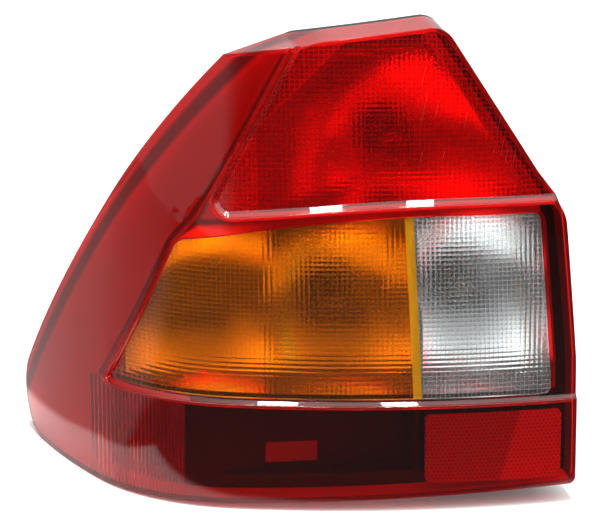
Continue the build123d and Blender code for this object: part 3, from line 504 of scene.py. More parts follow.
@dataclass(frozen=True)
class ReflexPrisms:
    """Reflex reflector moulded as a field of small corner prisms, which shows as a fine lattice of facets
    with painted light and shade.
    """

    name: str = "reflex_acrylic"
    # Painted light and shade: the shaded block's red and the lit block's red.
    dull: str = "#D01B12"
    bright: str = "#FF3424"
    roughness: float = 0.2
    pitch_mm: float = 2.2
    depth_mm: float = 0.5
    ridge_turns: tuple[float, ...] = (60.0, 120.0)
    block_slant: float = 0.28
    block_edge: Fade = Fade(0.1675, 0.1695)
    # Painted light and shade on the facets, multiplied into the colour.
    painted_facet_shading: Fade = Fade(0.0, 0.7, 0.4, 1.3)

    def ridges(self, tree: Tree, turn: float) -> Socket:
        """Draws one direction of ridges.

        Args:
            tree: The material's nodes.
            turn: How far the ridges are turned in the lamp's face, in degrees.

        Returns:
            Height of the ridges.
        """
        turned = node(
            tree,
            "ShaderNodeMapping",
            {"Vector": object_place(tree), "Rotation": (0.0, math.radians(turn), 0.0)},
        )
        ridge = node(
            tree,
            "ShaderNodeTexWave",
            {"Vector": turned.outputs["Vector"], "Scale": wave_scale(self.pitch_mm)},
            bands_direction="Z",
            wave_profile="TRI",
        )
        return ridge.outputs["Fac"]

    def material(self) -> bpy.types.Material:
        """Builds the material: three ridge directions that cross, with painted light and shade on the facets,
        and two blocks of prisms, one painted lighter than the other.

        Returns:
            The new material.
        """
        made = bpy.data.materials.new(self.name)
        made.use_nodes = True
        tree = made.node_tree
        shader = tree.nodes["Principled BSDF"]
        shader.inputs["IOR"].default_value = ACRYLIC_IOR
        shader.inputs["Roughness"].default_value = self.roughness
        height = self.ridges(tree, 0.0)
        for turn in self.ridge_turns:
            lower = node(tree, "ShaderNodeMath", {0: height, 1: self.ridges(tree, turn)}, operation="MINIMUM")
            height = lower.outputs[0]
        spot = node(tree, "ShaderNodeSeparateXYZ", {"Vector": object_place(tree)})
        edge = node(
            tree,
            "ShaderNodeMath",
            {0: spot.outputs["Z"], 1: -self.block_slant, 2: spot.outputs["X"]},
            operation="MULTIPLY_ADD",
        )
        block = node(tree, "ShaderNodeMapRange", self.block_edge.inputs(edge.outputs[0]))
        # Painted light: one block of prisms is painted brighter than the other.
        shade = node(
            tree,
            "ShaderNodeMix",
            {"Factor": block.outputs["Result"], "A": linear(self.dull), "B": linear(self.bright)},
            data_type="RGBA",
        )
        # Painted light and shade: each facet is darkened or lightened by the ridges' height.
        painted_facet_shading = node(tree, "ShaderNodeMapRange", self.painted_facet_shading.inputs(height))
        cut = node(
            tree,
            "ShaderNodeMix",
            {"Factor": 1.0, "A": shade.outputs["Result"], "B": painted_facet_shading.outputs["Result"]},
            data_type="RGBA",
            blend_type="MULTIPLY",
        )
        relief = {"Strength": 1.0, "Distance": self.depth_mm * MM, "Height": height}
        bump = node(tree, "ShaderNodeBump", relief)
        tree.links.new(cut.outputs["Result"], shader.inputs["Base Color"])
        tree.links.new(bump.outputs["Normal"], shader.inputs["Normal"])
        return made


@dataclass(frozen=True)
class Metal:
    """Plated, stamped or vacuum-coated metal surface."""

    name: str
    colour: str
    roughness: float = 0.25
    ripple_mm: float = 3.0
    ripple_depth_mm: float = 0.01
    metallic: float = 1.0
    gloss_spread: float = 0.2

    def material(self) -> bpy.types.Material:
        """Builds the material: a mirror with a slight ripple and changing gloss.

        Returns:
            The new material.
        """
        made = bpy.data.materials.new(self.name)
        made.use_nodes = True
        tree = made.node_tree
        shader = tree.nodes["Principled BSDF"]
        shader.inputs["Base Color"].default_value = linear(self.colour)
        shader.inputs["Metallic"].default_value = self.metallic
        noise = {"Vector": object_place(tree), "Scale": 1 / (self.ripple_mm * MM)}
        ripple = node(tree, "ShaderNodeTexNoise", noise).outputs["Fac"]
        spread = self.roughness * self.gloss_spread
        change = Fade(0.0, 1.0, self.roughness - spread, self.roughness + spread)
        gloss = node(tree, "ShaderNodeMapRange", change.inputs(ripple))
        relief = {"Strength": 1.0, "Distance": self.ripple_depth_mm * MM, "Height": ripple}
        bump = node(tree, "ShaderNodeBump", relief)
        tree.links.new(gloss.outputs["Result"], shader.inputs["Roughness"])
        tree.links.new(bump.outputs["Normal"], shader.inputs["Normal"])
        return made


Finish = Union[TintedAcrylic, Moulding, ReflexPrisms, Metal]


def finish_piece(
    bm: bmesh.types.BMesh, name: str, materials: list[bpy.types.Material], node_name: str
) -> bpy.types.Object:
    """Turns a bmesh into a piece that rides on the body and stands for a CAD node.

    Args:
        bm: Finished shape in metres, in the row frame.
        name: Name of the piece.
        materials: Materials by slot number.
        node_name: CAD node that it stands for.

    Returns:
        The new object.
    """
    mesh = bpy.data.meshes.new(name)
    for face in bm.faces:
        face.smooth = True
    bm.to_mesh(mesh)
    bm.free()
    piece = bpy.data.objects.new(name, mesh)
    bpy.context.scene.collection.objects.link(piece)
    for material in materials:
        mesh.materials.append(material)
    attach(piece, BODY)
    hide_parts(node_name)
    LOG.info("%s: %d faces", name, len(mesh.polygons))
    return piece


def cut_through(bm: bmesh.types.BMesh, place: Vector, normal: Vector, trim: bool = False) -> None:
    """Cuts a shape along a plane.

    Args:
        bm: The shape.
        place: Point on the plane, in metres.
        normal: Normal of the plane.
        trim: Whether what lies on the normal's side is taken away.
    """
    bmesh.ops.bisect_plane(
        bm,
        geom=bm.verts[:] + bm.edges[:] + bm.faces[:],
        dist=CUT_MERGE,
        plane_co=place,
        plane_no=normal,
        clear_outer=trim,
    )


def low_corner(corners: list[Corner]) -> tuple[float, float]:
    """Gives the left and lower limits of an outline."""
    return min(corner[0] for corner in corners), min(corner[1] for corner in corners)


@dataclass
class WindowPanel:
    """Colour window of the lens: a smooth skin outside and a grid of pillow optics inside, in millimetres."""

    name: str
    slot: str
    pillows: TintedAcrylic
    skin: TintedAcrylic
    corners: list[Corner]
    plain_from: Optional[tuple[tuple[float, float], tuple[float, float]]] = None
    # Painted light on the seam strip: its pale yellow back and skin.
    plain_back: Optional[TintedAcrylic] = None
    plain_skin: Optional[TintedAcrylic] = None
    sag: float = 0.4
    segments: int = 4
    gap: float = 0.12
    corner_shares: tuple[float, ...] = (0.17, 0.33, 0.5, 0.67, 0.83)
    valley_reach: float = 1e-4
    front_crease: float = 0.5
    back_crease: float = 0.9
    facing: float = 0.3

    def planes(self) -> list[tuple[Vector, Vector]]:
        """Lays planes along the window's edges and round its corners.

        Returns:
            A point in metres and an outward normal for each plane.
        """
        count = len(self.corners)
        found = []
        normals = []
        for i, (x, h, _) in enumerate(self.corners):
            far = self.corners[(i + 1) % count]
            run = Vector((far[0] - x, 0, far[1] - h)).normalized()
            normals.append(Vector((run.z, 0, -run.x)))
            found.append((point(x, h) - normals[-1] * self.gap * MM, normals[-1]))
        for i, (x, h, radius) in enumerate(self.corners):
            if radius <= 0:
                continue
            first, second = normals[i - 1], normals[i]
            middle = (first + second).normalized()
            centre = point(x, h) - middle * (radius * MM / middle.dot(first))
            for share in self.corner_shares:
                normal = first.slerp(second, share)
                found.append((centre + normal * (radius - self.gap) * MM, normal))
        return found

    def is_plain(self, x: float, height: float) -> bool:
        """Tells whether a place lies in the plain strip along the seam.

        Args:
            x: Place across the car.
            height: Height above the foot line.

        Returns:
            Whether the strip covers the place.
        """
        if self.plain_from is None:
            return False
        (x0, h0), (x1, h1) = self.plain_from
        return x > x0 + (x1 - x0) * (height - h0) / (h1 - h0)

    def sag_at(self, x: float, height: float, u: float, v: float) -> float:
        """Finds how far the optic stands in.

        Args:
            x: Place across the car.
            height: Height above the foot line.
            u: Column of the grid, with its fraction.
            v: Row of the grid, with its fraction.

        Returns:
            How far the inside lies behind the wall.
        """
        if self.is_plain(x, height):
            return 0.0
        across, up = u % 1.0, v % 1.0
        return self.sag * 2 * (across * (1 - across) + up * (1 - up))

    def pillow_grid(self) -> bmesh.types.BMesh:
        """Models the inside of the window as a grid of pillows with sharp valleys.

        Returns:
            The grid, past the window's outline on all sides.
        """
        left, low = low_corner(self.corners)
        pitch = self.pillows.pitch_mm
        columns = math.ceil((max(corner[0] for corner in self.corners) - left) / pitch)
        rows = math.ceil((max(corner[1] for corner in self.corners) - low) / pitch)
        bm = bmesh.new()
        across, up = columns * self.segments, rows * self.segments
        bmesh.ops.create_grid(bm, x_segments=across, y_segments=up, size=0.5)
        cells = {}
        for vert in bm.verts:
            u, v = (vert.co.x + 0.5) * columns, (vert.co.y + 0.5) * rows
            cells[vert] = (u, v)
            x, height = left + u * pitch, low + v * pitch
            depth = SKIN.middle_step + SKIN.wall + self.sag_at(x, height, u, v)
            vert.co = point(x, height, SKIN.y_at(x, height, depth))
        for edge in bm.edges:
            for a, b in zip(cells[edge.verts[0]], cells[edge.verts[1]]):
                if abs(a - b) < self.valley_reach and abs(a - round(a)) < self.valley_reach:
                    edge.smooth = False
        return bm

    def crease(self, bm: bmesh.types.BMesh, front: set[bmesh.types.BMVert]) -> None:
        """Keeps the panel's edges sharp and its skin smooth.

        Args:
            bm: The closed panel.
            front: Vertices of the outer skin.
        """
        for edge in bm.edges:
            ends = [vert in front for vert in edge.verts]
            if all(ends):
                level = len({round(face.normal.y, 1) for face in edge.link_faces}) == 1
                edge.smooth = level or edge.calc_face_angle(0) < self.front_crease
            elif not any(ends) and edge.calc_face_angle(0) > self.back_crease:
                edge.smooth = False

    def build(self) -> bpy.types.Object:
        """Models the panel, a closed solid, and puts it in the place of its CAD node.

        Returns:
            The new object.
        """
        bm = self.pillow_grid()
        for place, normal in self.planes():
            cut_through(bm, place, normal, trim=True)
        if self.plain_from is not None:
            start, end = (point(*place) for place in self.plain_from)
            cut_through(bm, start, (end - start).cross(Vector((0, 1, 0))))
        grown = bmesh.ops.extrude_face_region(bm, geom=bm.faces[:])["geom"]
        front = {item for item in grown if isinstance(item, bmesh.types.BMVert)}
        for vert in front:
            vert.co.y = SKIN.y_at(*front_place(vert.co), SKIN.middle_step) * MM
        bmesh.ops.recalc_face_normals(bm, faces=bm.faces[:])
        self.crease(bm, front)
        finishes = [self.pillows, self.skin, self.plain_back, self.plain_skin]
        materials = [finish.material() for finish in finishes if finish is not None]
        for face in bm.faces:
            strip = 2 if self.is_plain(*front_place(face.calc_center_median())) else 0
            face.material_index = strip + (0 if face.normal.y > self.facing else 1)
        return finish_piece(bm, self.name, materials, self.name.removesuffix("_panel"))


@dataclass
class StepSlope:
    """Step down into a field of the lens, drawn out to a slope as a mould's draft does, in millimetres."""

    corners: list[Corner]
    depth: float
    run: float
    reach: float = 0.6
    same_depth: float = 0.3
    arc_steps: int = 8

    def edge(self) -> list[Vector]:
        """Draws the field's edge, with an arc at each corner between its ends.

        Returns:
            Points of place across the car and height.
        """
        drawn = [Vector(self.corners[0][:2])]
        for before, (x, h, radius), after in zip(self.corners, self.corners[1:], self.corners[2:]):
            corner = Vector((x, h))
            back = (Vector(before[:2]) - corner).normalized()
            ahead = (Vector(after[:2]) - corner).normalized()
            middle = (back + ahead).normalized()
            half = back.angle(middle)
            centre = corner + middle * (radius / math.sin(half))
            start = corner + back * (radius / math.tan(half)) - centre
            end = corner + ahead * (radius / math.tan(half)) - centre
            for step in range(self.arc_steps + 1):
                drawn.append(centre + start.slerp(end, step / self.arc_steps) * radius)
        return drawn + [Vector(self.corners[-1][:2])]

    def nearest(self, spot: Vector, line: list[Vector]) -> tuple[float, Vector]:
        """Finds the part of the field's edge that is nearest to a place.

        Args:
            spot: Place across the car and height.
            line: Points of the edge.

        Returns:
            How far the place lies inside the edge, and the way in.
        """
        best = (math.inf, 0.0, Vector((0, 0)))
        for a, b in zip(line, line[1:]):
            run = b - a
            share = min(1.0, max(0.0, (spot - a).dot(run) / run.length_squared))
            inward = Vector((run.y, -run.x)).normalized()
            away = spot - (a + run * share)
            side = math.copysign(away.length, away.dot(inward))
            best = min(best, (away.length, side, inward), key=lambda found: found[0])
        return best[1], best[2]

    def draw_out(self, bm: bmesh.types.BMesh) -> None:
        """Moves the foot of the step into the field, outside and inside the wall.

        Args:
            bm: The lens's shell.
        """
        line = self.edge()
        for vert in bm.verts:
            depth = SKIN.depth_at(vert.co)
            inside = abs(depth - self.depth - SKIN.wall) < self.same_depth
            if not inside and abs(depth - self.depth) > self.same_depth:
                continue
            spot = Vector(front_place(vert.co))
            side, inward = self.nearest(spot, line)
            if abs(side + (SKIN.wall if inside else 0.0)) > self.reach:
                continue
            spot += inward * self.run
            vert.co = point(spot.x, spot.y, SKIN.y_at(spot.x, spot.y, depth))


class LensPart(Enum):
    """Parts of the lens's shell, which decide what its faces look like."""

    FIELD = 0
    RIM = 1
    STEP = 2


class LensFinish(IntEnum):
    """Material slots of the red shell."""

    POLISHED = 0
    LINE_OPTICS = 1
    FLUTES = 2
    SATIN = 3
    MOULDED = 4
    BORDER_OPTICS = 5
    FRAME = 6
    # Painted shade on the inboard rim.
    PAINTED_SHADE_RIM = 7


@dataclass
class RedLens:
    """Red shell of the lens, in millimetres: the CAD shape, with its inside faces parted by optic."""

    middle_corners: tuple[Corner, ...] = ((-97.5, 63.0, 3.0), (-59.5, 156.0, 14.0), (-47.0, 171.0, 10.0))
    middle_run: float = 1.8
    upper_corners: tuple[Corner, ...] = ((70.0, 179.0, 1000.0), (-43.0, 169.5, 9.0))
    upper_run: float = 2.8
    crease_run: float = 0.564
    far: float = 400.0
    middle_x: float = 40.0
    middle_height: float = 130.0
    middle_top: float = 165.0
    band_top: float = 64.0
    rim_height: float = 16.0
    flutes_left_x: float = -104.0
    flutes_right_x: float = -54.0
    frame_x: float = 150.0
    border_x: float = -11.0
    border_bend: float = 220.0
    border_run: float = 1.03
    inboard_from: float = 60.0
    inboard_border: float = 146.0
    inboard_dark: float = 154.0
    inboard_run: float = 0.65
    inboard_foot: float = 179.0
    shut_foot: float = -201.0
    shut_run: float = 0.812
    joint_lift: float = 0.25
    tolerance: float = 0.7
    facing: float = 0.6
    sideways: float = 0.3
    crease_angle: float = 22.0

    def steps(self) -> list[StepSlope]:
        """Lays out the slopes into the middle and upper fields.

        Returns:
            The two slopes, from the outer field in.
        """
        slopes = []
        for corners, depth, run in (
            (self.middle_corners, SKIN.middle_step, self.middle_run),
            (self.upper_corners, SKIN.upper_step, self.upper_run),
        ):
            crease_x, crease_height, _ = corners[-1]
            top_x = crease_x + self.crease_run * (self.far - crease_height)
            line = [(self.far, corners[0][1], 0.0), *corners, (top_x, self.far, 0.0)]
            slopes.append(StepSlope(line, depth, run))
        return slopes

    def finishes(self) -> list[TintedAcrylic]:
        """Lists the finishes in the order of LensFinish.

        Returns:
            One finish for each material slot.
        """
        return [
            # Polished in the mould: a sharp mirror of the room over clear red, and glints on rounded edges.
            TintedAcrylic("red_acrylic_polished", RED, edge_mm=0.8, wiped=WipeMarks()),
            # Crossed lines: small lenses that break the reflector behind them into bright and dark squares.
            TintedAcrylic("red_acrylic_line_optics", RED, Optic.LINES, 0.05, 2.8, 0.25, cusp=0.35),
            # Upright flutes: fine light and dark stripes at the lower band's outer end.
            TintedAcrylic("red_acrylic_flutes", RED, Optic.FLUTES, 0.1, 2.0, 0.25, clarity=0.85),
            # Spark-eroded satin: a soft, even red that hides what is behind it. Its grain is drawn coarser
            # than the real one, which is too fine to show.
            # Along the wing's shut line the satin carries a band of painted shade.
            TintedAcrylic(
                "red_acrylic_satin", RED, Optic.SATIN, 0.4, 0.8, 0.05, clarity=0.62, painted_shade_band=self.painted_shade_band()
            ),
            # As moulded: almost clear, so that the dark chamber and its plug show through.
            TintedAcrylic("red_acrylic_moulded", RED, Optic.SATIN, 0.08, 3.0, 0.02),
            # Lines over the field's border: the same squares, but duller, so that the housing doesn't show.
            TintedAcrylic(
                "red_acrylic_border_optics", RED, Optic.LINES, 0.25, 2.8, 0.25, clarity=0.68, cusp=0.2
            ),
            # Light satin round the windows: a deep red that darkens over the gaps behind it.
            TintedAcrylic("red_acrylic_frame", RED, Optic.SATIN, 0.3, 0.8, 0.03, clarity=0.85),
            # Painted shade over the black butyl: an almost black red painted along the inboard joint, in
            # place of the butyl showing through.
            TintedAcrylic("red_acrylic_painted_shade", "#6A1410", Optic.SATIN, 0.4, 0.8, 0.03, clarity=0.3),
        ]

    def behind(self, place: Vector) -> bool:
        """Tells whether a point lies behind the wall of the deepest field, as the way to the joint does."""
        return SKIN.depth_at(place) > SKIN.wall + SKIN.upper_step + self.tolerance

    def part_of(self, face: bmesh.types.BMFace) -> LensPart:
        """Tells the fields from the rim, which runs back to the joint, and from the steps between fields.

        Args:
            face: Face of the CAD shape.

        Returns:
            Part of the shell that the face belongs to.
        """
        if abs(face.normal.dot(SKIN.outward(face.calc_center_median()))) > self.facing:
            return LensPart.FIELD
        return LensPart.RIM if any(self.behind(vert.co) for vert in face.verts) else LensPart.STEP

    def upper_optic(self, place: Vector) -> LensFinish:
        """Picks the finish inside the upper field, where duller borders run along its sides.

        Args:
            place: Middle of the face, in metres.

        Returns:
            The face's finish.
        """
        if self.behind(place):
            return LensFinish.SATIN
        x, height = front_place(place)
        inboard = x + self.inboard_run * (height - self.inboard_foot)
        outboard = x - self.border_run * max(0.0, height - self.border_bend)
        if inboard > self.inboard_border:
            border = inboard < self.inboard_dark
        else:
            border = outboard <= self.border_x
        return LensFinish.BORDER_OPTICS if border else LensFinish.LINE_OPTICS

    def edge_optic(self, place: Vector, normal: Vector, part: LensPart) -> LensFinish:
        """Picks the finish of a face on the rim or on a step.

        Args:
            place: Middle of the face, in metres.
            normal: The face's outward normal.
            part: Part of the shell that the face belongs to.

        Returns:
            The face's finish.
        """
        x, height = front_place(place)
        inward = normal.dot(Vector((self.middle_x - x, 0.0, self.middle_height - height))) > 0
        if part is LensPart.STEP and height >= self.rim_height:
            if normal.x >= -self.sideways and normal.z >= -self.sideways:
                return LensFinish.POLISHED
            return LensFinish.FRAME if height < self.middle_top else LensFinish.SATIN
        if not inward:
            return LensFinish.POLISHED
        # The inboard rim gets painted shade.
        dark = part is LensPart.RIM and normal.x < -self.sideways and x > self.inboard_from
        return LensFinish.PAINTED_SHADE_RIM if dark else LensFinish.SATIN

    def optic_of(self, place: Vector, normal: Vector, part: LensPart) -> LensFinish:
        """Picks the finish of a face from its place and the way it faces.

        Args:
            place: Middle of the face, in metres.
            normal: The face's outward normal.
            part: Part of the shell that the face belongs to.

        Returns:
            The face's finish.
        """
        if part is not LensPart.FIELD:
            return self.edge_optic(place, normal, part)
        depth = SKIN.depth_at(place)
        x, height = front_place(place)
        inner = SKIN.wall - self.tolerance
        if normal.dot(SKIN.outward(place)) > 0 or depth < inner:
            return LensFinish.POLISHED
        if depth > inner + SKIN.upper_step:
            return self.upper_optic(place)
        if depth > inner + SKIN.middle_step:
            return LensFinish.MOULDED if x > self.frame_x else LensFinish.FRAME
        if height > self.band_top or x < self.flutes_left_x:
            return LensFinish.SATIN
        return LensFinish.FLUTES if x < self.flutes_right_x else LensFinish.MOULDED

    def painted_shade_band(self) -> PaintedShadeBand:
        """Lays the band of painted shade along the wing's shut line, in the plane across the car's diagonal.

        Returns:
            The band.
        """
        half = math.sqrt(0.5)
        normal = Vector((half, -half, -self.shut_run)).normalized()
        foot = Vector((self.shut_foot * half, -self.shut_foot * half, FOOT_Z))
        return PaintedShadeBand(tuple(normal), foot.dot(normal))

    def is_joint(self, face: bmesh.types.BMFace) -> bool:
        """Tells whether a face is the lens's edge in the joint with the housing.

        Args:
            face: Face of the CAD shape.

        Returns:
            Whether it lies in the joint.
        """
        place = face.calc_center_median()
        return self.behind(place) and face.normal.dot(SKIN.outward(place)) < -self.facing

    def cuts(self) -> list[tuple[Vector, Vector]]:
        """Lays planes along the borders between finishes.

        Returns:
            A point in metres and a normal for each plane.
        """
        upright = (1.0, 0.0, 0.0)
        inboard = (1.0, 0.0, self.inboard_run)
        planes = (
            (self.flutes_left_x, 0.0, upright),
            (self.flutes_right_x, 0.0, upright),
            (self.frame_x, 0.0, upright),
            (0.0, self.band_top, (0.0, 0.0, 1.0)),
            (self.border_x, 0.0, upright),
            (self.border_x, self.border_bend, (1.0, 0.0, -self.border_run)),
            (self.inboard_border, self.inboard_foot, inboard),
            (self.inboard_dark, self.inboard_foot, inboard),
        )
        return [(point(x, height), Vector(normal)) for x, height, normal in planes]

    def build(self) -> bpy.types.Object:
        """Copies the CAD shape, slopes its steps and gives its inside faces their optics.

        Returns:
            The new object.
        """
        bm = bmesh.new()
        bm.from_mesh(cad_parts["red_lens"].data)
        bmesh.ops.remove_doubles(bm, verts=bm.verts[:], dist=WELD)
        part = bm.faces.layers.int.new("part")
        for face in bm.faces:
            face[part] = self.part_of(face).value
        for vert in {vert for face in bm.faces if self.is_joint(face) for vert in face.verts}:
            vert.co += SKIN.outward(vert.co) * self.joint_lift * MM
            vert.co.x = min(vert.co.x, CAD_BOX[1][0])
        for step in self.steps():
            step.draw_out(bm)
        bm.normal_update()
        for place, normal in self.cuts():
            cut_through(bm, place, normal)
        for face in bm.faces:
            face.material_index = self.optic_of(face.calc_center_median(), face.normal, LensPart(face[part]))
        for edge in bm.edges:
            edge.smooth = edge.calc_face_angle(0) < math.radians(self.crease_angle)
        materials = [finish.material() for finish in self.finishes()]
        return finish_piece(bm, "red_lens_shell", materials, "red_lens")


@dataclass
class Interior:
    """Housing, reflectors, bulbs and carrier: CAD shapes with their real finishes."""

    chambers: tuple[str, ...] = ("stop", "turn", "reverse")
    tracks: tuple[str, ...] = ("turn", "tail", "stop", "reverse", "earth")

    def mouldings(self) -> dict[str, Finish]:
        """Lists the finishes of the plastic and rubber pieces and the studs.

        Returns:
            Finishes by CAD node.
        """
        return {
            # Moulded black ABS: a dark grey sheen broken up by a leathery grain.
            "housing": Moulding("black_abs", "#1A1B1D", "#26272A", 0.5, 0.7, 0.03),
            # Pressed-out butyl: a dull black bead with a lumpy skin.
            "lens_sealant": Moulding("butyl_sealant", "#222224", "#2C2B2A", 0.65, 1.2, 0.05),
            # Cut EPDM foam: flat black with open pores.
            "body_seal": Moulding("epdm_foam", "#1C1D1E", "#2A2B2B", 0.92, 0.9, 0.12),
            # Uncoloured nylon: a waxy grey-beige, pale behind the dark chamber's lens.
            "blanking_plug": Moulding("natural_nylon", "#A9A496", "#9C9787", 0.5, 0.8, 0.01),
            # Moulded rubber: matt black with a faint bloom.
            "vent_cap": Moulding("black_rubber", "#18191A", "#222324", 0.7, 0.5, 0.02),
            # Grey nylon: a light, slightly waxy grey with a fine grain.
            "bulb_carrier": Moulding("grey_nylon", "#B9BCBC", "#A9ACAD", 0.5, 0.6, 0.015),
            # Soft gasket rubber: almost black, with hardly any shine.
            "carrier_gasket": Moulding("gasket_rubber", "#1E1F20", "#28292A", 0.8, 0.6, 0.03),
            "reflex_plate": ReflexPrisms(),
            # Zinc-plated steel: a pale, cool metal with soft reflections.
            "mounting_studs": Metal("zinc_steel", "#C4C6C4", 0.32, 1.0, 0.02),
        }

    def finishes(self) -> dict[str, Finish]:
        """Lists the finishes of all CAD pieces that keep their shape.

        Returns:
            Finishes by CAD node.
        """
        # Vacuum-metallised ABS under lacquer: a bright, slightly rippled mirror with a little haze.
        mirror = Metal("metallised_abs", "#F6F7F7", 0.16, 4.0, 0.02, metallic=0.85)
        # Drawn brass: a warm, half-bright yellow.
        base = Metal("bulb_brass", "#C9B37A", 0.28, 1.5, 0.01)
        # Coiled tungsten wire: a dull grey thread.
        tungsten = Metal("tungsten", "#8A8880", 0.4, 0.5, 0.01)
        # Blown glass: clear, seen only by its highlights and edges.
        glass = TintedAcrylic("bulb_glass", "#FBFCFC", roughness=0.0)
        # Stamped brass with a tin coat: a pale, warm metal.
        brass = Metal("tinned_brass", "#C8BFA6", 0.3, 1.5, 0.01)
        found = self.mouldings()
        for name in self.chambers:
            found[f"{name}_reflector"] = mirror
            found[f"{name}_bulb_base"] = base
            found[f"{name}_bulb_filament"] = tungsten
            found[f"{name}_bulb_glass"] = glass
        for name in self.tracks:
            found[f"{name}_track"] = brass
        return found

    def dress(self) -> None:
        """Gives each CAD node its material."""
        built: dict[str, bpy.types.Material] = {}
        for name, finish in self.finishes().items():
            if finish.name not in built:
                built[finish.name] = finish.material()
            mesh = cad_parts[name].data
            mesh.materials.clear()
            mesh.materials.append(built[finish.name])
            LOG.info("%s: %s", name, finish.name)


@dataclass
class Studio:
    """Pale floor, soft light and the camera of the photograph, in metres."""

    camera_place: tuple[float, float, float] = (-0.228, -1.7717, 0.4429)
    target: tuple[float, float, float] = (0.014, -0.050, -0.023)
    lens_mm: float = 185.45
    sensor_mm: float = 36.0
    shift_x: float = 0.0033
    clip_end: float = 50.0
    floor_z: float = -0.1662
    floor_half: float = 12.0
    sheet: str = "#DADADA"
    table: str = "#424242"
    # Painted light: the lighter grey of the table where light falls at its left.
    lit_table: str = "#828282"
    sheet_skew: float = 0.1405
    sheet_front: Fade = Fade(-0.108, -0.094)
    sheet_side: Fade = Fade(-0.178, -0.163)
    lit_from: float = 0.13
    lit_side: Fade = Fade(0.6, 0.25)
    floor_glow: float = 0.1
    walls: Fade = Fade(-0.92, -0.8, 0.06, 0.72)
    ceiling_front: Fade = Fade(-0.9, -0.42, 0.7, 3.8)
    ceiling_back: Fade = Fade(-0.25, 0.3, 3.8, 0.4)
    ceiling_rise: Fade = Fade(0.17, 0.33)
    tube_x: tuple[float, float] = (-0.215, 0.22)
    tube_y: float = -0.35
    tube_z: float = 1.9
    tube_width: float = 0.13
    tube_length: float = 1.2
    tube_power: float = 22.0

    def camera(self) -> None:
        """Places the camera and makes it the scene's."""
        data = bpy.data.cameras.new("camera")
        data.lens = self.lens_mm
        data.sensor_width = self.sensor_mm
        data.shift_x = self.shift_x
        data.clip_end = self.clip_end
        made = bpy.data.objects.new("camera", data)
        made.location = self.camera_place
        way = Vector(self.target) - Vector(self.camera_place)
        made.rotation_euler = way.to_track_quat("-Z", "Y").to_euler()
        bpy.context.scene.collection.objects.link(made)
        bpy.context.scene.camera = made

    def floor_colour(self, tree: Tree) -> Socket:
        """Draws the white sheet under and behind the lamp, on a grey table with painted light that makes it
        lighter at its left.

        Args:
            tree: The floor material's nodes.

        Returns:
            The floor's colour.
        """
        place = node(tree, "ShaderNodeSeparateXYZ", {"Vector": object_place(tree)})
        x, y = place.outputs["X"], place.outputs["Y"]
        ahead = node(tree, "ShaderNodeMath", {0: x, 1: self.sheet_skew, 2: y}, operation="MULTIPLY_ADD")
        across = node(tree, "ShaderNodeMath", {0: x, 1: self.lit_from})
        ray = node(tree, "ShaderNodeMath", {0: y, 1: across.outputs[0]}, operation="DIVIDE")
        shares = []
        for value, fade in (
            (ray.outputs[0], self.lit_side),
            (ahead.outputs[0], self.sheet_front),
            (x, self.sheet_side),
        ):
            share = node(tree, "ShaderNodeMapRange", fade.inputs(value), interpolation_type="SMOOTHSTEP")
            shares.append(share.outputs["Result"])
        colours = []
        for share, colour in zip(shares, (self.lit_table, self.sheet)):
            ends = {"Factor": share, "A": linear(self.table), "B": linear(colour)}
            colours.append(node(tree, "ShaderNodeMix", ends, data_type="RGBA").outputs["Result"])
        ends = {"Factor": shares[2], "A": colours[0], "B": colours[1]}
        return node(tree, "ShaderNodeMix", ends, data_type="RGBA").outputs["Result"]

    def floor(self) -> None:
        """Lays the floor, which the camera and the lens see a little lighter than it is lit."""
        bm = bmesh.new()
        bmesh.ops.create_grid(bm, x_segments=1, y_segments=1, size=self.floor_half)
        bmesh.ops.translate(bm, vec=(0, 0, self.floor_z), verts=bm.verts[:])
        mesh = bpy.data.meshes.new("floor")
        bm.to_mesh(mesh)
        bm.free()
        made = bpy.data.objects.new("floor", mesh)
        bpy.context.scene.collection.objects.link(made)
        # Uncoated paper on a painted table: flat, with no shine.
        material = bpy.data.materials.new("paper_sweep")
        material.use_nodes = True
        tree = material.node_tree
        tree.nodes.remove(tree.nodes["Principled BSDF"])
        shade = self.floor_colour(tree)
        paper = node(tree, "ShaderNodeBsdfDiffuse", {"Color": shade})
        path = node(tree, "ShaderNodeLightPath").outputs
        seen = path["Is Camera Ray"]
        for ray in ("Is Glossy Ray", "Is Transmission Ray"):
            seen = node(tree, "ShaderNodeMath", {0: seen, 1: path[ray]}).outputs[0]
        lift = node(tree, "ShaderNodeMath", {0: seen, 1: self.floor_glow}, operation="MULTIPLY")
        glow = node(tree, "ShaderNodeEmission", {"Color": shade, "Strength": lift.outputs[0]})
        both = node(tree, "ShaderNodeAddShader", {0: paper.outputs[0], 1: glow.outputs[0]})
        tree.links.new(both.outputs[0], tree.nodes["Material Output"].inputs["Surface"])
        mesh.materials.append(material)

    def world(self) -> None:
        """Lights the lamp from a pale ceiling, with a dimmer room in front."""
        world = bpy.data.worlds.new("room")
        bpy.context.scene.world = world
        world.use_nodes = True
        tree = world.node_tree
        direction = node(tree, "ShaderNodeTexCoord").outputs["Generated"]
        way = node(tree, "ShaderNodeSeparateXYZ", {"Vector": direction})
        levels = []
        for axis, fade in (
            ("Y", self.walls),
            ("Y", self.ceiling_front),
            ("Y", self.ceiling_back),
            ("Z", self.ceiling_rise),
        ):
            level = node(
                tree,
                "ShaderNodeMapRange",
                fade.inputs(way.outputs[axis]),
                interpolation_type="SMOOTHSTEP",
            )
            levels.append(level.outputs["Result"])
        walls, front, back, rise = levels
        above = node(tree, "ShaderNodeMath", {0: front, 1: back}, operation="MINIMUM")
        light = node(tree, "ShaderNodeMix", {"Factor": rise, "A": walls, "B": above.outputs[0]})
        tree.nodes["Background"].inputs["Color"].default_value = linear("#FFFFFF")
        tree.links.new(light.outputs["Result"], tree.nodes["Background"].inputs["Strength"])

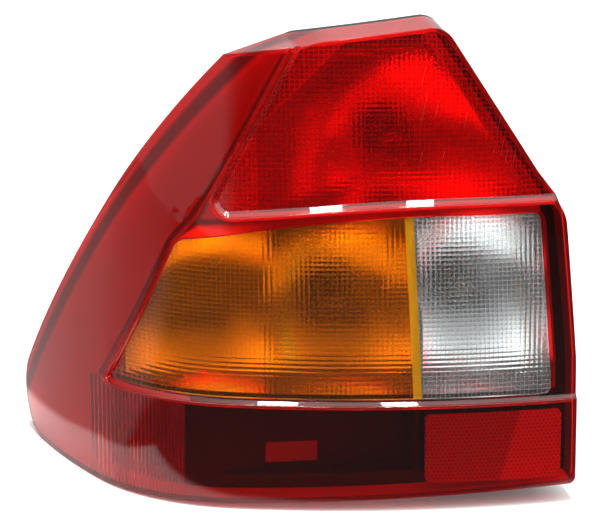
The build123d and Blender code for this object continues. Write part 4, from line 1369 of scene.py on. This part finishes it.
    def tubes(self) -> None:
        """Hangs two long tube lamps overhead, which draw the bright glints on the lens's edges."""
        for x in self.tube_x:
            data = bpy.data.lights.new("tube", "AREA")
            data.shape = "RECTANGLE"
            data.size = self.tube_width
            data.size_y = self.tube_length
            data.energy = self.tube_power
            made = bpy.data.objects.new("tube", data)
            made.location = (x, self.tube_y, self.tube_z)
            bpy.context.scene.collection.objects.link(made)

    def build(self) -> None:
        """Sets up the studio."""
        self.camera()
        self.floor()
        self.world()
        self.tubes()
        bpy.context.scene.view_settings.view_transform = "Standard"


@dataclass
class Windows:
    """Amber and clear windows, which meet in a slanted seam, in millimetres."""

    seam_foot: tuple[float, float] = (80.5, 66.0)
    seam_top: tuple[float, float] = (76.0, 172.5)
    seam_width: float = 4.9
    pillow_pitch: float = 2.6
    pillow_cusp: float = 0.4
    amber_segments: int = 3

    def amber(self) -> WindowPanel:
        """Lays out the turn signal's window, with the plain strip that runs along the seam.

        Returns:
            The window.
        """
        corners: list[Corner] = [
            (-95.0, 66.0, 4.0),
            (*self.seam_foot, 0.0),
            (*self.seam_top, 0.0),
            (11.0, 168.0, 0.0),
            (-57.0, 156.0, 9.0),
        ]
        return WindowPanel(
            "amber_lens_panel",
            "amber_acrylic",
            # Moulded pillows: each shows a small picture of the reflector, between dark valleys.
            TintedAcrylic(
                "amber_acrylic_pillows",
                AMBER,
                Optic.PILLOWS,
                0.04,
                self.pillow_pitch,
                cusp=self.pillow_cusp,
                origin_mm=low_corner(corners),
            ),
            # Polished in the mould: a clear deep orange under a sharp mirror.
            TintedAcrylic("amber_acrylic", AMBER, roughness=0.04),
            corners,
            plain_from=tuple((x - self.seam_width, h) for x, h in (self.seam_foot, self.seam_top)),
            # Seam strip with painted light: a cloudy, pale yellow in place of the light that the amber's edge
            # wall carries.
            plain_back=TintedAcrylic(
                "amber_seam_painted_light", "#FFC01E", Optic.SATIN, 0.3, 1.0, 0.02, clarity=0.2
            ),
            # Thin amber over the seam, painted pale with light so that the strip's yellow shows through.
            plain_skin=TintedAcrylic("amber_seam_skin_painted_light", "#FFF0B0", roughness=0.03),
            segments=self.amber_segments,
        )

    def clear(self) -> WindowPanel:
        """Lays out the reversing light's window.

        Returns:
            The window.
        """
        corners: list[Corner] = [
            (*self.seam_foot, 0.0),
            (157.0, 66.0, 5.0),
            (150.0, 172.5, 5.0),
            (*self.seam_top, 0.0),
        ]
        return WindowPanel(
            "clear_lens_panel",
            "clear_acrylic",
            # Moulded pillows: each shows a small picture of the reflector, between grey valleys.
            TintedAcrylic(
                "clear_acrylic_pillows",
                CLEAR,
                Optic.PILLOWS,
                0.02,
                self.pillow_pitch,
                cusp=self.pillow_cusp,
                origin_mm=low_corner(corners),
            ),
            # Polished in the mould: colourless under a sharp mirror.
            TintedAcrylic("clear_acrylic", CLEAR, roughness=0.02),
            corners,
        )

    def build(self) -> None:
        """Builds both windows."""
        self.amber().build()
        self.clear().build()


def main() -> None:
    """Builds the pieces in order and reports each one."""
    logging.basicConfig(level=logging.INFO, format="%(message)s")
    Studio().build()
    Interior().dress()
    RedLens().build()
    Windows().build()


if __name__ == "__main__":
    main()
